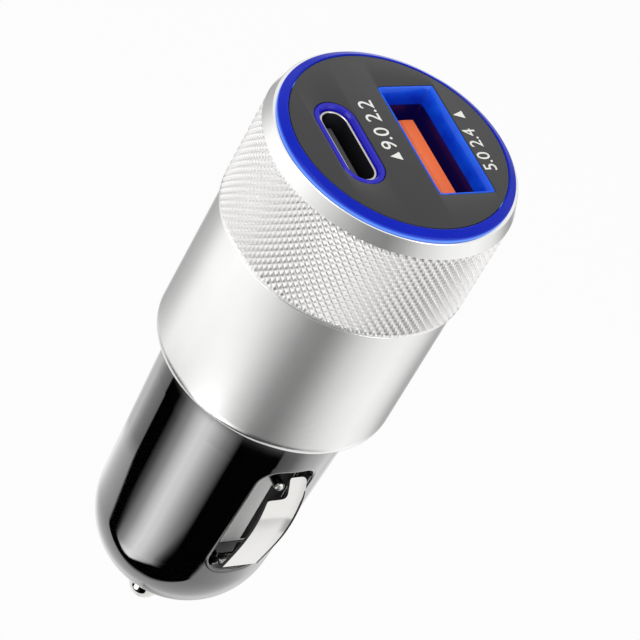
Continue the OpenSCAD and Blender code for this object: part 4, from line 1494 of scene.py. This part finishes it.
@dataclass
class CentreContact:
    """Plunger with a domed end, and the coil behind it."""

    stem_r: float = 1.7
    end_z: float = -37.3
    seat_z: float = -31.1
    flange_r: float = 2.7
    flange_t: float = 0.9
    spigot_r: float = 1.2
    spigot_h: float = 1.8
    coil_r: float = 2.15
    wire: float = 0.4
    coil_low: float = -30.2
    coil_high: float = -22.6
    turns: int = 6
    turn_steps: int = 36
    # Turns at each end that lie flat
    flat_turns: float = 0.8
    travel: float = 3.0

    def plunger(self) -> None:
        """Builds the plunger: a dome on a stem, a flange and a spigot, turned about the axis."""
        dome = circle(self.stem_r, np.linspace(-math.pi / 2, 0, 20))
        dome = dome + [0, self.end_z + self.stem_r]
        top = self.seat_z + self.flange_t
        rest = rounded([
            (*dome[-1], 0), (self.stem_r, self.seat_z, 0.06), (self.flange_r, self.seat_z, 0.08),
            (self.flange_r, top, 0.12), (self.spigot_r, top, 0.08),
            (self.spigot_r, top + self.spigot_h, 0.25), (0, top + self.spigot_h, 0),
        ], closed=False)
        plunger = revolve(np.concatenate([dome, rest]), even_angles(96))
        add_piece("tip_contact_turned", [plunger], TURNED_NICKEL, "tip_contact", body=Body.TIP)

    def coil(self) -> None:
        """Builds the coil: a circle carried along a helix whose end turns lie flat.

        The wire rises by its own thickness over each end's flat turns, and evenly in between.
        """
        share = np.linspace(0, 1, self.turns * self.turn_steps + 1)
        angle = share * self.turns * TURN
        closing = self.flat_turns / self.turns
        ramp = np.clip((share - closing) / (1 - 2 * closing), 0, 1)
        span = self.coil_high - self.coil_low - self.wire
        ends = np.minimum(share, closing) + np.maximum(share - 1 + closing, 0)
        rise = self.wire * ends / closing + (span - 2 * self.wire) * ramp
        z = self.coil_low + self.wire / 2 + rise
        around = even_angles(12)[None, :]
        out = self.coil_r + self.wire / 2 * np.cos(around)
        points = np.stack([out * np.cos(angle)[:, None], out * np.sin(angle)[:, None],
                           z[:, None] + self.wire / 2 * np.sin(around)], axis=-1)
        coil = add_piece("tip_spring_coil", [closed_tube(points)], SPRING_WIRE, "tip_spring")
        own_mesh(coil)

    def build(self) -> None:
        """Builds the plunger and the coil."""
        self.plunger()
        self.coil()


# ---- Studio ----


def aim(thing: Piece, axes: Sequence[Array], where: Array) -> None:
    """Stands a lamp or camera on its own X, Y and Z at a point in millimetres."""
    placed = np.eye(4)
    placed[:3, :3], placed[:3, 3] = np.column_stack(axes), where * MM
    thing.matrix_world = Matrix(placed.tolist())


@dataclass
class Studio:
    """White set with a light tent, a floor well below the plug and two soft lamps.

    The tent is a dome under the plug that only reflections see. Its levels are set as a
    photographer hangs white and black cards: the lower part is what the gloss black plug
    mirrors, and the upper part is what the satin sleeve does. Azimuth 0 is towards the camera.
    """

    camera_azimuth: float = 43.0
    centre_z: float = -15.0
    radius: float = 110.0
    top: float = 34.0
    # Elevation that parts what the sleeve mirrors from what the plug mirrors
    parting: float = -34.6
    floor_z: float = -500.0
    floor_half: float = 4000.0
    lamp_distance: float = 800.0
    # Azimuth and level of the cards round the sleeve
    sleeve_cards: tuple[Pair, ...] = (
        (-180, 1.9), (-172, 1.7), (-162, 0.95), (-151, 0.42), (-136, 0.5), (-120, 0.6),
        (-108, 0.85), (-95, 1.15), (-70, 1.25), (-45, 1.15), (-25, 0.85), (-5, 0.55), (12, 0.32),
        (28, 0.26), (40, 0.42), (55, 0.75), (75, 1.0), (100, 1.1), (120, 0.9), (138, 0.5),
        (150, 0.35), (162, 0.7), (180, 1.0),
    )
    # Azimuth and level of the cards round the plug
    plug_cards: tuple[Pair, ...] = (
        (-180, 0.95), (-163, 0.85), (-148, 0.7), (-138, 0.8), (-130, 0.95), (-120, 0.75),
        (-110, 0.55), (-93, 0.45), (-91, 0.0), (-71, 0.0), (-62, 0.27), (-48, 1.25), (-38, 2.65),
        (-29, 3.6), (-20, 3.3), (-9, 2.05), (0, 1.15), (10, 0.45), (16, 0.0),
        (62, 0.0), (64, 0.33), (80, 0.5), (92, 0.95), (102, 1.15), (130, 1.2),
        (145, 0.8), (165, 0.85), (180, 0.95),
    )
    # Azimuth and elevation of the bright strip's rounded lower end
    strip_foot: tuple[Pair, ...] = (
        (-69, -47), (-61, -49.5), (-55, -54), (-50, -58), (-44, -60), (-36, -60.5), (-28, -58.5),
        (-16, -54.5), (-4, -50.5), (6, -48.5), (16, -47),
    )
    # How far from the middle of the black card, in azimuth, and level of the card under it
    under_cards: tuple[Pair, ...] = ((70, 0.9), (100, 0.95), (135, 1.1), (160, 0.8), (180, 0.5))

    def levels(self, azimuth: Array, elevation: Array) -> Array:
        """Brightness of the tent.

        Args:
            azimuth: Azimuth from the camera's side, in degrees, to its right.
            elevation: Elevation in degrees.

        Returns:
            The level of each point, where 1 is white.
        """
        sleeve = np.interp(azimuth, *np.array(self.sleeve_cards).T)
        lean = 9 * np.clip((-47 - elevation) / 6, 0, 1)
        plug = np.interp(azimuth + lean, *np.array(self.plug_cards).T)
        strip_end = np.interp(azimuth, *np.array(self.strip_foot).T)
        depth = np.clip(1 - np.abs((azimuth + 17) / 63) ** 3, 0, 1)
        card_end = -48 - 21 * depth + np.interp(azimuth, [-93, -80, 46, 62], [5, 0, 0, 4])
        under = np.interp(np.abs(azimuth + 10), *np.array(self.under_cards).T)
        below = np.clip((card_end - elevation) / (1 + 5 * depth), 0, 1)
        faded = np.clip((elevation - strip_end) / 2.5, 0, 1)
        fade = np.where(np.abs(azimuth + 14.5) < 76.5, faded, 1)
        plug = plug * fade * (1 - below) + under * below
        part = np.clip((elevation - self.parting) / 1.5 + 0.5, 0, 1)
        return plug * (1 - part) + sleeve * part

    def tent(self) -> None:
        """Builds the tent, a dome seen by reflections alone."""
        azimuth = np.linspace(-180, 180, 361)[None, :]
        elevation = np.linspace(-90, self.top, 209)[:, None]
        level = self.levels(azimuth + 0 * elevation, elevation + 0 * azimuth)
        a, e = np.radians(azimuth + self.camera_azimuth - 90), np.radians(elevation)
        points = np.stack(np.broadcast_arrays(
            self.radius * np.cos(e) * np.cos(a), self.radius * np.cos(e) * np.sin(a),
            self.centre_z + self.radius * np.sin(e)), axis=-1)
        grid = sheet(points)
        mesh = bpy.data.meshes.new("light_tent")
        mesh.from_pydata(grid.points * MM, [], grid.faces)
        mesh.shade_smooth()
        mesh.attributes.new("level", "FLOAT", "POINT").data.foreach_set("value", level.ravel())
        material = bpy.data.materials.new("tent_cloth")
        tree = empty_tree(material)
        shown = add_node(tree, "ShaderNodeAttribute", attribute_name="level").outputs["Fac"]
        glow = add_node(tree, "ShaderNodeEmission", {"Strength": shown})
        add_node(tree, "ShaderNodeOutputMaterial", {"Surface": glow.outputs[0]})
        material.cycles.emission_sampling = "NONE"
        mesh.materials.append(material)
        tent = link("light_tent", mesh)
        tent.visible_camera = tent.visible_diffuse = tent.visible_shadow = False
        tent.visible_transmission = tent.visible_volume_scatter = False

    def seen(self, tree: Tree) -> Socket:
        """Returns 1 for camera, glossy and transmission rays, and 0 for the rest."""
        path = add_node(tree, "ShaderNodeLightPath").outputs
        both = path["Is Camera Ray"]
        for name in ("Is Glossy Ray", "Is Transmission Ray"):
            both = add_node(tree, "ShaderNodeMath", {0: both, 1: path[name]},
                            operation="MAXIMUM").outputs[0]
        return both

    def surroundings(self) -> None:
        """Sets the world: white to the eye and in reflections, and a plain soft light."""
        world = bpy.data.worlds.new("studio")
        tree = empty_tree(world)
        level = add_node(tree, "ShaderNodeMapRange", {"Value": self.seen(tree), "To Min": 0.8,
                                                      "To Max": 1.0}).outputs[0]
        sky = add_node(tree, "ShaderNodeBackground", {"Color": (1, 1, 1, 1), "Strength": level})
        add_node(tree, "ShaderNodeOutputWorld", {"Surface": sky.outputs[0]})
        bpy.context.scene.world = world

    def floor(self) -> None:
        """Builds the floor: near white, part of it lit so that it keeps a faint shadow."""
        side, z = self.floor_half, self.floor_z
        corners = np.array([(-side, -side, z), (side, -side, z), (side, side, z), (-side, side, z)])
        mesh = bpy.data.meshes.new("floor")
        mesh.from_pydata(corners * MM, [], [[0, 1, 2, 3]])
        material = bpy.data.materials.new("white_floor")
        tree = empty_tree(material)
        lit = add_node(tree, "ShaderNodeBsdfDiffuse", {"Color": (0.9, 0.9, 0.9, 1)}).outputs[0]
        white = add_node(tree, "ShaderNodeEmission", {"Strength": 1.0}).outputs[0]
        share = add_node(tree, "ShaderNodeMath", {0: self.seen(tree), 1: 0.85},
                         operation="MULTIPLY").outputs[0]
        mixed = add_node(tree, "ShaderNodeMixShader", {0: share, 1: lit, 2: white})
        add_node(tree, "ShaderNodeOutputMaterial", {"Surface": mixed.outputs[0]})
        mesh.materials.append(material)
        floor = link("floor", mesh)

    def lamp(self, name: str, azimuth: float, elevation: float, size: float, power: float) -> None:
        """Adds a soft square lamp that points at the plug.

        Args:
            name: The lamp's name.
            azimuth: Azimuth from the camera's side, in degrees, to its right.
            elevation: Elevation in degrees.
            size: Side in millimetres.
            power: Power in watts.
        """
        a, e = math.radians(azimuth + self.camera_azimuth - 90), math.radians(elevation)
        away = np.array([math.cos(e) * math.cos(a), math.cos(e) * math.sin(a), math.sin(e)])
        side = np.array([-math.sin(a), math.cos(a), 0])
        data = bpy.data.lights.new(name, "AREA")
        data.energy, data.size = power, size * MM
        lamp = link(name, data)
        lamp.visible_camera = False
        aim(lamp, (side, np.cross(away, side), away), away * self.lamp_distance)

    def build(self) -> None:
        """Builds the set."""
        self.surroundings()
        self.floor()
        self.tent()
        self.lamp("key", -50, 50, 500, 3.0)
        self.lamp("fill", 70, 30, 500, 1.5)
        log.info("studio: world, floor, light tent and two lamps")


@dataclass
class PhotoCamera:
    """Camera at the photograph's viewing angle, fitted to the outlines of the head and plug."""

    azimuth: float = 43.0
    elevation: float = 40.139
    roll: float = 30.347
    aim_x: float = 4.523
    aim_y: float = 3.8
    distance: float = 326.635
    lens: float = 188.1
    sensor: float = 36.0

    def build(self) -> None:
        """Makes the camera and sets it as the scene's."""
        a, e, t = (math.radians(x) for x in (self.azimuth, self.elevation, self.roll))
        right = np.array([math.cos(a), math.sin(a), 0])
        up = np.array([-math.sin(a) * math.sin(e), math.cos(a) * math.sin(e), math.cos(e)])
        back = np.cross(right, up)
        x_axis = math.cos(t) * right + math.sin(t) * up
        y_axis = -math.sin(t) * right + math.cos(t) * up
        data = bpy.data.cameras.new("camera")
        data.lens, data.sensor_width = self.lens, self.sensor
        data.clip_start, data.clip_end = 0.01, 20.0
        camera = link("camera", data)
        where = self.aim_x * x_axis + self.aim_y * y_axis + self.distance * back
        aim(camera, (x_axis, y_axis, back), where)
        bpy.context.scene.camera = camera


def dress_kept_nodes() -> None:
    """Gives the CAD nodes that keep their shape their finishes."""
    for node, finish in KEPT_NODES.items():
        dress(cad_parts[node], finish)
        log.info("%s: kept from the CAD part, %s", node, finish.name)


def main() -> None:
    """Builds the set and every piece."""
    logging.basicConfig(level=logging.INFO, format="%(message)s")
    bpy.context.scene.view_settings.view_transform = "Standard"
    Studio().build()
    PhotoCamera().build()
    ports = Ports()
    Sleeve().build()
    Face().build(ports)
    ports.build()
    PlugBody().build()
    GroundSpring().build()
    GroundTerminal().build()
    CentreContact().build()
    dress_kept_nodes()


if __name__ == "__main__":
    main()
